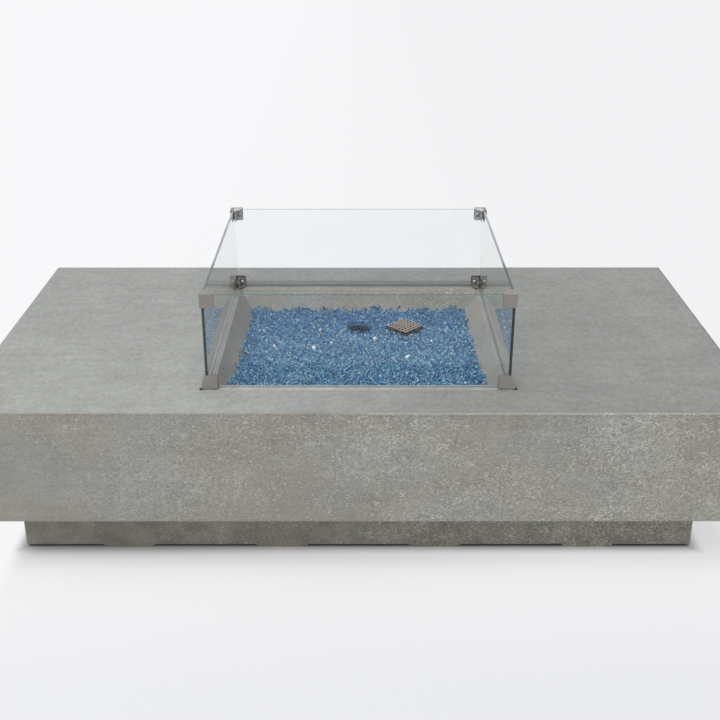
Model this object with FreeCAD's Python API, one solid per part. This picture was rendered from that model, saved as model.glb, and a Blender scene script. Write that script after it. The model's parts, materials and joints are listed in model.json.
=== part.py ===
import FreeCAD, Part
import math
import os

# Fire pit table: a thin-walled concrete box on a smaller concrete plinth, with a tapered
# recess in its top for a gas burner, a bed of crushed glass and a lift-off glass guard.
# Millimetres. The origin is on the floor under the middle of the table, +Z is up,
# +X runs along the table and -Y is its front.

V = FreeCAD.Vector
X_AXIS = V(1, 0, 0)
Y_AXIS = V(0, 1, 0)
Z_AXIS = V(0, 0, 1)

# Table shell
table_length = 1524.0
table_depth = 813.0
table_height = 349.0
shell_height = 237.0
shell_wall = 26.0
top_thickness = 30.0
lip_thickness = 28.0
shell_arris = 4.0

# Base plinth
plinth_inset = 82.0
plinth_wall = 30.0
plinth_arris = 3.0
floor_gap = 6.0
tab_length = 106.0
tab_spacing = 313.0
tabs_on_long_side = 4
tabs_on_short_side = 2

# Recess in the top
opening_length = 570.0
opening_depth = 544.0
opening_shift = -15.0
opening_corner = 6.0
opening_bevel = 3.0
recess_depth = 60.0
recess_slope_run = 40.0
recess_wall = 24.0
recess_outer_corner = 20.0
ledge_width = 20.0
ledge_thickness = 16.0

# Joint between shell and plinth
bolt_radius = 4.0
bolt_head_flats = 13.0
bolt_head_height = 5.3
bolt_grip = 24.0
washer_radius = 11.0
washer_thickness = 2.0
insert_radius = 6.0
insert_depth = 32.0
bolts_on_long_side = 3
bolt_spacing = 520.0
bolt_gap = 0.5
fit_gap = 0.1

# Burner pan
pan_gap = 2.0
pan_depth = 62.0
pan_sheet = 1.5
pan_flange = 18.0
pan_corner = 12.0
drain_radius = 4.0
drain_inset = 45.0

# Burner
burner_radius = 10.0
burner_sheet = 1.2
burner_height = 28.0
spine_front = -135.0
spine_back = 141.0
bar_front = -105.0
bar_back = 45.0
bar_half_length = 150.0
port_radius = 1.2
port_pitch = 30.0
hub_radius = 14.0
nipple_radius = 10.5
nipple_bore = 8.0
locknut_flats = 30.0
locknut_height = 5.0
hub_gap = 1.0
stand_width = 24.0
stand_offset = 32.0
stand_sheet = 1.5
stand_side_gap = 2.5
stand_foot = 20.0
stand_screw_radius = 2.0
stand_screw_out = 16.0

# Air mixer and orifice
mixer_collar_flats = 32.0
mixer_collar_height = 8.0
mixer_radius = 13.0
mixer_length = 54.0
mixer_window_width = 8.0
mixer_window_height = 25.0
elbow_size = 26.0
spigot_length = 12.0
jet_radius = 4.0
jet_length = 10.0
jet_bore = 0.9

# Pilot
pilot_x = 106.0
pilot_y = 95.0
pilot_turn = 45.0
pilot_hole_radius = 20.0
cage_size = 58.0
cage_height = 39.0
cage_sheet = 1.0
cage_drop = 30.0
mesh_pitch = 9.2
mesh_hole = 7.0
mesh_border = 0.3
shelf_margin = 1.0
shelf_sheet = 1.5
shelf_leg_width = 20.0
shelf_foot = 9.0
shelf_screw_radius = 1.5
shelf_screw_inset = 5.0
pilot_burner_radius = 5.0
pilot_tail = 16.0
pilot_neck = 16.0
pilot_hood_sheet = 1.5
pilot_headroom = 6.0
pilot_gas_bore = 1.5
pilot_flange = 2.0
probe_radius = 3.2
probe_rise = 6.0
insulator_radius = 4.2
electrode_radius = 1.2
electrode_rise = 7.0
electrode_reach = 6.0
pilot_pitch = 15.0

# Fire glass bed
bed_drop = 44.0
bed_gap = 0.7
bed_burner_gap = 0.5
bed_pocket_gap = 0.6
bed_part_gap = 1.0
pit_x = 0.0
pit_y = 118.0
pit_top_radius = 28.0
pit_bottom_radius = 13.0

# Control niche in the left end
niche_width = 180.0
niche_height = 104.0
niche_corner = 10.0
niche_z = 232.0
panel_margin = 16.0
panel_sheet = 2.0
panel_screw_radius = 2.0
panel_screw_depth = 9.0
panel_screw_drop = 6.0
knob_y = -45.0
igniter_y = 45.0

# Gas valve and knob
valve_length = 40.0
valve_width = 60.0
valve_height = 44.0
valve_edge = 2.0
chamber_start = 2.0
chamber_length = 22.0
port_depth = 6.0
neck_radius = 8.0
neck_hole_gap = 0.3
neck_proud = 5.5
neck_nut_flats = 20.0
neck_nut_thickness = 3.5
stem_radius = 3.0
stem_flat = 2.0
stem_gap = 0.05
stem_tail = 8.0
stem_in_knob = 14.0
collar_radius = 5.0
collar_thickness = 2.0
collar_gap = 0.3
cup_radius = 6.0
cup_thickness = 1.5
valve_bore = 6.5
knob_radius = 22.0
knob_height = 20.0
knob_standoff = 4.5
knob_grip_width = 13.0
knob_disc_height = 7.0
knob_edge = 2.5
knob_rim = 5.0
knob_hollow = 5.0
pointer_width = 2.0
pointer_start = 6.0
spring_wire = 0.5
spring_turns = 5
valve_spring_radius = 4.6
button_spring_radius = 6.0

# Igniter
igniter_radius = 12.0
igniter_length = 66.0
igniter_bore = 9.3
igniter_flange = 2.0
igniter_end_wall = 4.0
igniter_neck_radius = 11.0
igniter_neck_proud = 5.0
bezel_radius = 15.0
bezel_lip = 1.0
button_radius = 9.0
button_proud = 8.0
button_skirt = 3.0
button_edge = 1.5
battery_radius = 7.25
battery_length = 50.5
battery_nub_radius = 2.7
battery_nub_length = 1.0

# Gas tubes and leads
inlet_from_end = 312.0
inlet_z = 60.0
inlet_body_radius = 9.0
inlet_thread_length = 12.0
flare_radius = 7.94
flare_length = 14.0
flare_bore = 5.0
inlet_flats = 27.0
inlet_hex_thickness = 8.0
inlet_nut_thickness = 6.0
hose_radius = 7.0
feed_radius = 6.35
pilot_tube_radius = 3.175
probe_lead_radius = 1.6
spark_lead_radius = 2.5
tube_wall = 1.0
nut_overlap = 8.0
gas_line_drop = 74.0
line_start = 80.0
feed_turn_run = 264.0
lead_turn_run = 294.0
pilot_line_rise = 30.0
probe_line_rise = 14.0
spark_line_rise = 44.0

# Wind guard
guard_length = 592.0
guard_depth = 569.0
guard_shift = -12.5
guard_top = 541.0
glass_thickness = 5.0
glass_lift = 3.5
glass_edge = 0.6
glass_joint = 0.5
bracket_sheet = 2.0
bracket_leg = 27.0
bracket_floor = 1.5
bracket_flare = 6.0
bracket_cap_gap = 0.5
inner_leg = 16.0
inner_drop = 2.0
inner_gap = 2.5
liner_thickness = 1.0
liner_height = 4.0
pad_radius = 7.0
pad_thickness = 1.5
guard_screw_radius = 2.0
foot_height = 1.0
foot_radius = 4.5
foot_wrap = 0.5
bumper_radius = 2.0
bumper_height = 3.0

# Dome-head screws
screw_head_ratio = 2.2
screw_dome_ratio = 1.2
screw_tail = 4.0
socket_radius = 1.3
socket_depth = 1.3

# Places worked out from the sizes above
half_length = table_length / 2
half_depth = table_depth / 2
shell_bottom = table_height - shell_height
lip_top = shell_bottom + lip_thickness
top_under = table_height - top_thickness
lip_width = plinth_inset + plinth_wall
plinth_length = table_length - 2 * plinth_inset
plinth_depth = table_depth - 2 * plinth_inset
ledge_z = table_height - recess_depth
slope = recess_slope_run / recess_depth
pan_opening_length = opening_length - 2 * (recess_slope_run + ledge_width)
pan_opening_depth = opening_depth - 2 * (recess_slope_run + ledge_width)
pan_length = pan_opening_length - 2 * pan_gap
pan_width = pan_opening_depth - 2 * pan_gap
pan_under = ledge_z - pan_depth
pan_floor = pan_under + pan_sheet
burner_z = pan_floor + burner_height
bed_z = table_height - bed_drop
cage_top = table_height - cage_drop
shelf_z = cage_top - cage_height
pilot = V(pilot_x, pilot_y, 0)
hub = V(0, opening_shift, 0)
wall_inside_x = -half_length + shell_wall
panel_back_x = wall_inside_x + panel_sheet
valve_back_x = panel_back_x + valve_length
igniter_back_x = panel_back_x + igniter_length
guard_half_length = guard_length / 2
guard_half_depth = guard_depth / 2
glass_bottom = table_height + glass_lift
floor_plate_z = table_height + foot_height
inner_start = glass_thickness + inner_gap
inner_end = inner_start + bracket_sheet
bolt_line_x = half_length - plinth_inset - plinth_wall / 2
bolt_line_y = half_depth - plinth_inset - plinth_wall / 2
mixer_bottom = pan_under - mixer_collar_height - mixer_length
pilot_base_z = shelf_z - pilot_tail
shelf_size = cage_size + 2 * shelf_margin
inlet_x = -half_length + inlet_from_end
gas_line_z = pan_under - gas_line_drop
feed_turn_x = valve_back_x + feed_turn_run
lead_turn_x = valve_back_x + lead_turn_run
near_outer = -liner_thickness - bracket_sheet
flared_outer = near_outer - bracket_flare
bracket_reach = near_outer + bracket_leg
upper_low_z = guard_top - bracket_leg + bracket_sheet
upper_high_z = guard_top + bracket_cap_gap
lower_top_z = floor_plate_z + bracket_leg - bracket_sheet


def block(x0, x1, y0, y1, z0, z1):
    """A block between two opposite corners."""
    return Part.makeBox(x1 - x0, y1 - y0, z1 - z0, V(x0, y0, z0))


def rod(start, direction, radius, length):
    """A round bar from start along direction."""
    return Part.makeCylinder(radius, length, start, direction)


def fuse(shapes):
    """One clean solid made from shapes that touch."""
    first = shapes[0]
    return first.fuse(shapes[1:]).removeSplitter()


def placed(shape, start, direction):
    """A shape modelled along +Z from the origin, moved to start and turned to direction."""
    copy = shape.copy()
    copy.Placement = FreeCAD.Placement(start, FreeCAD.Rotation(Z_AXIS, direction))
    return copy


def rounded_outline(length, depth, corner, z, middle_y):
    """A closed rectangle with round corners, level at height z."""
    reach_x = length / 2
    reach_y = depth / 2
    bulge = corner * (1 - math.sqrt(0.5))
    arcs = []
    for side_x, side_y, upright_first in ((1, 1, True), (-1, 1, False), (-1, -1, True), (1, -1, False)):
        upright = V(side_x * reach_x, middle_y + side_y * (reach_y - corner), z)
        level = V(side_x * (reach_x - corner), middle_y + side_y * reach_y, z)
        middle = V(side_x * (reach_x - bulge), middle_y + side_y * (reach_y - bulge), z)
        arcs.append((upright, middle, level) if upright_first else (level, middle, upright))
    edges = []
    for arc, following in zip(arcs, arcs[1:] + arcs[:1]):
        edges.append(Part.Arc(*arc).toShape())
        edges.append(Part.LineSegment(arc[2], following[0]).toShape())
    return Part.Wire(edges)


def rounded_block(length, depth, corner, z0, z1, middle_y=0.0):
    """An upright block with round corners."""
    face = Part.Face(rounded_outline(length, depth, corner, z0, middle_y))
    return face.extrude(V(0, 0, z1 - z0))


def recess_block(z0, z1, grow, corner):
    """The tapered space of the recess between two heights, grown sideways by grow."""
    outlines = []
    for z in (z0, z1):
        run = slope * (table_height - z) - grow
        outlines.append(rounded_outline(
            opening_length - 2 * run, opening_depth - 2 * run, corner, z, opening_shift))
    return Part.makeLoft(outlines, True, True)


def polygon_prism(points, z0, z1):
    """An upright prism on a flat outline of (x, y) points."""
    corners = [V(x, y, z0) for x, y in points]
    outline = Part.makePolygon(corners + corners[:1])
    return Part.Face(outline).extrude(V(0, 0, z1 - z0))


def hexagon(start, direction, across_flats, length):
    """A hexagonal prism from start along direction."""
    radius = across_flats / math.sqrt(3)
    points = [(radius * math.cos(math.radians(60 * i)), radius * math.sin(math.radians(60 * i)))
              for i in range(6)]
    return placed(polygon_prism(points, 0, length), start, direction)


def nut(start, direction, across_flats, length, bore):
    """A hexagonal nut with a plain bore."""
    return hexagon(start, direction, across_flats, length).cut(rod(start, direction, bore, length))


def ring(start, direction, outer, inner, length):
    """A tube or washer with an outer and an inner radius."""
    return rod(start, direction, outer, length).cut(rod(start, direction, inner, length))


def bent_path(points):
    """Straight runs joined by tangent arcs, each as large as its two runs allow."""
    edges = []
    start = points[0]
    for before, corner, after in zip(points, points[1:], points[2:]):
        run_in = corner - before
        run_out = after - corner
        turn = run_in.getAngle(run_out)
        reach = 0.45 * min(run_in.Length, run_out.Length)
        radius = reach / math.tan(turn / 2)
        run_in.normalize()
        run_out.normalize()
        inward = run_out - run_in
        inward.normalize()
        first = corner - run_in * reach
        last = corner + run_out * reach
        middle = corner + inward * (radius / math.cos(turn / 2) - radius)
        edges.append(Part.LineSegment(start, first).toShape())
        edges.append(Part.Arc(first, middle, last).toShape())
        start = last
    edges.append(Part.LineSegment(start, points[-1]).toShape())
    return Part.Wire(edges)


def bent_rod(points, radius):
    """A round bar that follows a bent path."""
    path = bent_path(points)
    profile = Part.Wire(Part.makeCircle(radius, points[0], points[1] - points[0]))
    return path.makePipeShell([profile], True, False)


def bent_tube(points, radius, wall):
    """A hollow tube that follows a bent path."""
    return bent_rod(points, radius).cut(bent_rod(points, radius - wall))


def coil(start, direction, radius, length):
    """A round-wire compression spring between two flat seats."""
    clear_length = length - spring_wire * 2 - fit_gap * 2
    helix = Part.makeLongHelix(clear_length / spring_turns, clear_length, radius)
    profile = Part.Wire(Part.makeCircle(spring_wire, V(radius, 0, 0), Y_AXIS))
    spring = Part.Wire(helix.Edges).makePipeShell([profile], True, True)
    return placed(spring, start + direction * (spring_wire + fit_gap), direction)


def dome_screw(tip, direction, shank, shank_length):
    """A screw with a domed head and a round socket, its head facing along direction."""
    head = shank * screw_head_ratio
    head_height = shank * screw_dome_ratio
    sphere_radius = (head ** 2 + head_height ** 2) / (2 * head_height)
    sphere = Part.makeSphere(sphere_radius, V(0, 0, shank_length + head_height - sphere_radius))
    keep = rod(V(0, 0, shank_length), Z_AXIS, head + 1, head_height + 1)
    socket = rod(V(0, 0, shank_length + head_height - socket_depth), Z_AXIS, socket_radius, socket_depth + 1)
    screw = rod(V(0, 0, 0), Z_AXIS, shank, shank_length).fuse(sphere.common(keep)).cut(socket)
    return placed(screw, tip, direction)


def evenly(count, spacing):
    """Places of count things about zero, a spacing apart."""
    return [(i - (count - 1) / 2) * spacing for i in range(count)]


def at_pilot(shape):
    """Turns a shape that is square to the table into line with the pilot cage."""
    copy = shape.copy()
    copy.Placement = FreeCAD.Placement(pilot, FreeCAD.Rotation(Z_AXIS, pilot_turn))
    return copy


def save(node, *shapes):
    """Writes one node from all the solids of its shapes."""
    solids = [solid for shape in shapes for solid in shape.Solids]
    result = solids[0] if len(solids) == 1 else Part.makeCompound(solids)
    result.exportStep(os.path.join("parts", node + ".step"))


def bolt_places():
    """Places of the bolts along the middle of the plinth wall."""
    places = [V(x, side * bolt_line_y, 0)
              for side in (-1, 1) for x in evenly(bolts_on_long_side, bolt_spacing)]
    return places + [V(side * bolt_line_x, 0, 0) for side in (-1, 1)]


def panel_screw_places():
    """Places of the four panel screws in the wall round the niche."""
    reach_y = (niche_width + panel_margin) / 2
    reach_z = (niche_height + panel_margin) / 2 - panel_screw_drop
    return [V(wall_inside_x, side_y * reach_y, niche_z + side_z * reach_z)
            for side_y in (-1, 1) for side_z in (-1, 1)]


def niche_block(x0, x1, grow):
    """The space of the control niche, with round corners, between two depths."""
    face = rounded_block(niche_height + 2 * grow, niche_width + 2 * grow, niche_corner, 0, x1 - x0)
    turned = placed(face, V(x0, 0, niche_z), X_AXIS)
    return turned


def table_shell():
    """The cast box, open below inside its lip, with the tapered recess and the niche."""
    body = rounded_block(table_length, table_depth, shell_arris, shell_bottom, table_height)
    level = [edge for edge in body.Edges
             if abs(edge.BoundBox.ZMax - edge.BoundBox.ZMin) < 0.01]
    body = body.makeFillet(shell_arris * 0.9, level)
    inside = block(-half_length + shell_wall, half_length - shell_wall,
                   -half_depth + shell_wall, half_depth - shell_wall, lip_top, top_under)
    mouth = block(-half_length + lip_width, half_length - lip_width,
                  -half_depth + lip_width, half_depth - lip_width, shell_bottom - 1, lip_top + 1)
    walls = recess_block(ledge_z - ledge_thickness, top_under + 1, recess_wall, recess_outer_corner)
    hollow = recess_block(ledge_z, table_height, 0, opening_corner)
    bevel = Part.makeLoft([
        rounded_outline(opening_length, opening_depth, opening_corner,
                        table_height - opening_bevel, opening_shift),
        rounded_outline(opening_length + 2 * opening_bevel, opening_depth + 2 * opening_bevel,
                        opening_corner, table_height, opening_shift)], True, True)
    drop = rounded_block(pan_opening_length, pan_opening_depth, pan_corner,
                         ledge_z - ledge_thickness - 1, ledge_z + 1, opening_shift)
    shell = body.cut([inside, mouth]).fuse(walls).cut([hollow, bevel, drop])
    shell = shell.cut(niche_block(-half_length - 1, wall_inside_x + 1, 0))
    holes = [rod(place + V(0, 0, shell_bottom - 1), Z_AXIS, bolt_radius + bolt_gap, lip_thickness + 2)
             for place in bolt_places()]
    holes += [rod(place - V(panel_screw_depth + 1, 0, 0), X_AXIS, panel_screw_radius + fit_gap,
                  panel_screw_depth + 2) for place in panel_screw_places()]
    save("table_shell", shell.cut(holes))


def tab(middle_x, middle_y, along_x):
    """One foot under the plinth rim, longer at its root than at the floor."""
    outline = [(-tab_length / 2, floor_gap), (-tab_length / 2 + floor_gap, 0),
               (tab_length / 2 - floor_gap, 0), (tab_length / 2, floor_gap)]
    corners = [V(x, -plinth_wall / 2, z) for x, z in outline]
    foot = Part.Face(Part.makePolygon(corners + corners[:1])).extrude(V(0, plinth_wall, 0))
    turn = 0 if along_x else 90
    foot.Placement = FreeCAD.Placement(V(middle_x, middle_y, 0), FreeCAD.Rotation(Z_AXIS, turn))
    return foot


def base_plinth():
    """The plinth ring with its tabs."""
    body = rounded_block(plinth_length, plinth_depth, plinth_arris, floor_gap, shell_bottom)
    inside = block(-plinth_length / 2 + plinth_wall, plinth_length / 2 - plinth_wall,
                   -plinth_depth / 2 + plinth_wall, plinth_depth / 2 - plinth_wall,
                   floor_gap - 1, shell_bottom + 1)
    tabs = [tab(x, side * bolt_line_y, True)
            for side in (-1, 1) for x in evenly(tabs_on_long_side, tab_spacing)]
    tabs += [tab(side * bolt_line_x, y, False)
             for side in (-1, 1) for y in evenly(tabs_on_short_side, tab_spacing)]
    plinth = fuse([body.cut(inside)] + tabs)
    holes = [rod(place + V(0, 0, shell_bottom - insert_depth), Z_AXIS, insert_radius + fit_gap, insert_depth)
             for place in bolt_places()]
    holes.append(rod(V(inlet_x, plinth_depth / 2 - plinth_wall - 1, inlet_z), Y_AXIS,
                     inlet_body_radius + fit_gap, plinth_wall + 2))
    save("base_plinth", plinth.cut(holes))


def plinth_fixings():
    """Threaded inserts in the plinth, with the bolts and washers that hold the shell down."""
    inserts, bolts, washers = [], [], []
    for place in bolt_places():
        bottom = place + V(0, 0, shell_bottom - insert_depth)
        inserts.append(ring(bottom, Z_AXIS, insert_radius, bolt_radius + fit_gap, insert_depth))
        seat = place + V(0, 0, lip_top)
        washers.append(ring(seat, Z_AXIS, washer_radius, bolt_radius + fit_gap, washer_thickness))
        head = seat + V(0, 0, washer_thickness)
        shank_length = washer_thickness + lip_thickness + bolt_grip
        shank = rod(head - V(0, 0, shank_length), Z_AXIS, bolt_radius, shank_length)
        bolts.append(shank.fuse(hexagon(head, Z_AXIS, bolt_head_flats, bolt_head_height)))
    save("plinth_inserts", *inserts)
    save("plinth_washers", *washers)
    save("plinth_bolts", *bolts)


def burner_pan():
    """The drop-in pan: a flange on the ledge and a tub below it, with its floor holes."""
    flange = rounded_block(pan_length + 2 * pan_flange, pan_width + 2 * pan_flange, pan_corner,
                           ledge_z, ledge_z + pan_sheet, opening_shift)
    outside = rounded_block(pan_length, pan_width, pan_corner, pan_under, ledge_z, opening_shift)
    inside = rounded_block(pan_length - 2 * pan_sheet, pan_width - 2 * pan_sheet,
                           pan_corner - pan_sheet, pan_floor, ledge_z + pan_sheet + 1, opening_shift)
    low = pan_under - 1
    deep = pan_sheet + 2
    holes = [rod(hub + V(0, 0, low), Z_AXIS, nipple_radius + 0.3, deep),
             rod(pilot + V(0, 0, low), Z_AXIS, pilot_hole_radius, deep)]
    for side_x in (-1, 1):
        for side_y in (-1, 1):
            place = V(side_x * (pan_length / 2 - drain_inset),
                      opening_shift + side_y * (pan_width / 2 - drain_inset), low)
            holes.append(rod(place, Z_AXIS, drain_radius, deep))
    holes += [rod(place + V(0, 0, low), Z_AXIS, stand_screw_radius + fit_gap, deep)
              for place in stand_screw_places()]
    holes += [rod(place + V(0, 0, low), Z_AXIS, shelf_screw_radius + fit_gap, deep)
              for place in shelf_screw_places()]
    save("burner_pan", flange.fuse(outside).cut([inside] + holes))


def burner_runs():
    """Start, direction and length of the spine and of the two cross bars."""
    runs = [(hub + V(0, spine_front, burner_z), Y_AXIS, spine_back - spine_front)]
    for y in (bar_front, bar_back):
        runs.append((hub + V(-bar_half_length, y, burner_z), X_AXIS, 2 * bar_half_length))
    return runs


def burner_tube():
    """The burner: a spine with two cross bars, capped ends, side ports and a hub below."""
    outer, inner, ports = [], [], []
    for start, direction, length in burner_runs():
        outer.append(rod(start, direction, burner_radius, length))
        inner.append(rod(start + direction * burner_sheet, direction,
                         burner_radius - burner_sheet, length - 2 * burner_sheet))
        across = direction.cross(Z_AXIS)
        count = int(length / port_pitch)
        for step in evenly(count, port_pitch):
            place = start + direction * (length / 2 + step) - across * (burner_radius + 1)
            ports.append(rod(place, across, port_radius, 2 * burner_radius + 2))
    hub_bottom = pan_floor + locknut_height + hub_gap
    outer.append(rod(hub + V(0, 0, hub_bottom), Z_AXIS, hub_radius, burner_z - hub_bottom))
    inner.append(rod(hub + V(0, 0, hub_bottom - 1), Z_AXIS, nipple_radius + fit_gap, burner_z - hub_bottom))
    save("burner_tube", fuse(outer).cut(fuse(inner)).cut(ports))


def stand_places():
    """Middle of each burner stand on the pan floor, front and back."""
    return {"front": hub + V(0, bar_front + stand_offset, 0), "back": hub + V(0, bar_back + stand_offset, 0)}


def stand_screw_places():
    """Places of the screws that hold the burner stands."""
    return [place + V(side * (burner_radius + stand_screw_out), 0, 0)
            for place in stand_places().values() for side in (-1, 1)]


def burner_stands():
    """Folded saddles that carry the spine over the pan floor, and their screws."""
    reach = burner_radius + stand_side_gap
    foot_end = reach + stand_foot
    saddle_top = burner_height - burner_radius - fit_gap
    for name, place in stand_places().items():
        legs = []
        for side in (-1, 1):
            leg = block(reach - stand_sheet, reach, -stand_width / 2, stand_width / 2,
                        0, saddle_top + burner_radius * 0.8)
            foot = block(reach - stand_sheet, foot_end, -stand_width / 2, stand_width / 2, 0, stand_sheet)
            foot = foot.cut(rod(V(burner_radius + stand_screw_out, 0, -1), Z_AXIS,
                                stand_screw_radius + fit_gap, stand_sheet + 2))
            half = leg.fuse(foot)
            legs.append(half if side > 0 else half.mirror(V(0, 0, 0), X_AXIS))
        legs.append(block(-reach, reach, -stand_width / 2, stand_width / 2,
                          saddle_top - stand_sheet, saddle_top))
        stand = fuse(legs)
        stand.translate(place + V(0, 0, pan_floor))
        save("burner_stand_" + name, stand)
    screws = [dome_screw(place + V(0, 0, pan_under - screw_tail), Z_AXIS, stand_screw_radius,
                         pan_sheet + stand_sheet + screw_tail) for place in stand_screw_places()]
    save("burner_screws", *screws)


def air_mixer():
    """The mixer under the pan: nipple, collar and a windowed body, with its locknut."""
    nipple_top = burner_z - burner_radius
    mixer = fuse([
        rod(hub + V(0, 0, pan_under), Z_AXIS, nipple_radius, nipple_top - pan_under),
        hexagon(hub + V(0, 0, mixer_bottom + mixer_length), Z_AXIS, mixer_collar_flats, mixer_collar_height),
        rod(hub + V(0, 0, mixer_bottom), Z_AXIS, mixer_radius, mixer_length)])
    bore = rod(hub + V(0, 0, mixer_bottom - 1), Z_AXIS, nipple_bore, nipple_top - mixer_bottom + 2)
    window_z = mixer_bottom + spigot_length + jet_length
    windows = [
        block(-mixer_radius - 1, mixer_radius + 1, opening_shift - mixer_window_width / 2,
              opening_shift + mixer_window_width / 2, window_z, window_z + mixer_window_height),
        block(-mixer_window_width / 2, mixer_window_width / 2, opening_shift - mixer_radius - 1,
              opening_shift + mixer_radius + 1, window_z, window_z + mixer_window_height)]
    save("air_mixer", mixer.cut([bore] + windows))
    save("mixer_locknut", nut(hub + V(0, 0, pan_floor), Z_AXIS, locknut_flats, locknut_height,
                              nipple_radius + fit_gap))


def orifice_elbow():
    """The elbow that feeds the mixer, with the gas jet on its spigot."""
    middle = V(0, opening_shift, mixer_bottom - elbow_size / 2)
    reach = elbow_size / 2
    cube = block(-reach, reach, opening_shift - reach, opening_shift + reach,
                 mixer_bottom - elbow_size, mixer_bottom)
    spigot = rod(hub + V(0, 0, mixer_bottom), Z_AXIS, nipple_bore - fit_gap, spigot_length)
    inlet = rod(middle - V(reach + nut_overlap, 0, 0), X_AXIS, feed_radius, nut_overlap)
    passage_up = rod(middle, Z_AXIS, jet_radius + fit_gap, reach + spigot_length + 1)
    passage_in = rod(middle - V(reach + nut_overlap + 1, 0, 0), X_AXIS, feed_radius - tube_wall,
                     reach + nut_overlap + 1)
    elbow = fuse([cube, spigot, inlet]).cut(fuse([passage_up, passage_in]))
    save("orifice_elbow", elbow)
    jet_bottom = mixer_bottom + spigot_length - jet_length
    jet = ring(hub + V(0, 0, jet_bottom), Z_AXIS, jet_radius, jet_bore, jet_length)
    save("orifice_jet", jet)


def mesh_plate(width, height):
    """A flat plate of square mesh inside a plain border, from the X axis up."""
    corners = [V(-width / 2, 0, 0), V(width / 2, 0, 0), V(width / 2, height, 0), V(-width / 2, height, 0)]
    wires = [Part.makePolygon(corners + corners[:1])]
    half = mesh_hole / 2
    for along in evenly(int((height - 2 * mesh_border) / mesh_pitch), mesh_pitch):
        for x in evenly(int((width - 2 * mesh_border) / mesh_pitch), mesh_pitch):
            y = height / 2 + along
            hole = [V(x - half, y - half, 0), V(x + half, y - half, 0),
                    V(x + half, y + half, 0), V(x - half, y + half, 0)]
            wires.append(Part.makePolygon(hole + hole[:1]))
    return Part.Face(wires, "Part::FaceMakerBullseye").extrude(V(0, 0, cage_sheet))


def pilot_cage():
    """The mesh box over the pilot: a top and four sides, open below."""
    reach = cage_size / 2
    roof = mesh_plate(cage_size, cage_size)
    roof.translate(V(0, -reach, cage_top - cage_sheet))
    plates = [roof]
    for quarter in range(4):
        side = mesh_plate(cage_size - 2 * cage_sheet, cage_height - cage_sheet)
        side.rotate(V(0, 0, 0), X_AXIS, 90)
        side.translate(V(0, -reach + cage_sheet, shelf_z))
        side.rotate(V(0, 0, 0), Z_AXIS, 90 * quarter)
        plates.append(side)
        post = block(-reach, -reach + cage_sheet, -reach, -reach + cage_sheet, shelf_z, cage_top - cage_sheet)
        post.rotate(V(0, 0, 0), Z_AXIS, 90 * quarter)
        plates.append(post)
    save("pilot_cage", at_pilot(fuse(plates)))


def shelf_screw_places():
    """Places of the two screws in the feet of the pilot bracket."""
    turned = FreeCAD.Rotation(Z_AXIS, pilot_turn)
    return [pilot + turned.multVec(V(side * (shelf_size / 2 - shelf_screw_inset), 0, 0))
            for side in (-1, 1)]


def pilot_bracket():
    """A folded bracket: a shelf for the cage with two legs and two feet on the pan floor."""
    reach = shelf_size / 2
    pieces = [block(-reach, reach, -reach, reach, shelf_z - shelf_sheet, shelf_z)]
    for side in (-1, 1):
        leg = block(reach - shelf_sheet, reach, -shelf_leg_width / 2, shelf_leg_width / 2,
                    pan_floor, shelf_z - shelf_sheet)
        foot = block(reach - shelf_foot, reach, -shelf_leg_width / 2, shelf_leg_width / 2,
                     pan_floor, pan_floor + shelf_sheet)
        half = leg.fuse(foot)
        pieces.append(half if side > 0 else half.mirror(V(0, 0, 0), X_AXIS))
    bracket = at_pilot(fuse(pieces))
    low = V(0, 0, shelf_z - shelf_sheet - 1)
    holes = [rod(pilot + low, Z_AXIS, pilot_burner_radius + fit_gap, 4),
             rod(pilot + V(pilot_pitch, 0, 0) + low, Z_AXIS, probe_radius + fit_gap, 4),
             rod(pilot - V(pilot_pitch, 0, 0) + low, Z_AXIS, insulator_radius + fit_gap, 4)]
    holes += [rod(place + V(0, 0, pan_floor - 1), Z_AXIS, shelf_screw_radius + fit_gap, 4)
              for place in shelf_screw_places()]
    save("pilot_bracket", bracket.cut(holes))
    screws = [dome_screw(place + V(0, 0, pan_under - screw_tail), Z_AXIS, shelf_screw_radius,
                         pan_sheet + shelf_sheet + screw_tail) for place in shelf_screw_places()]
    save("pilot_screws", *screws)


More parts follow.
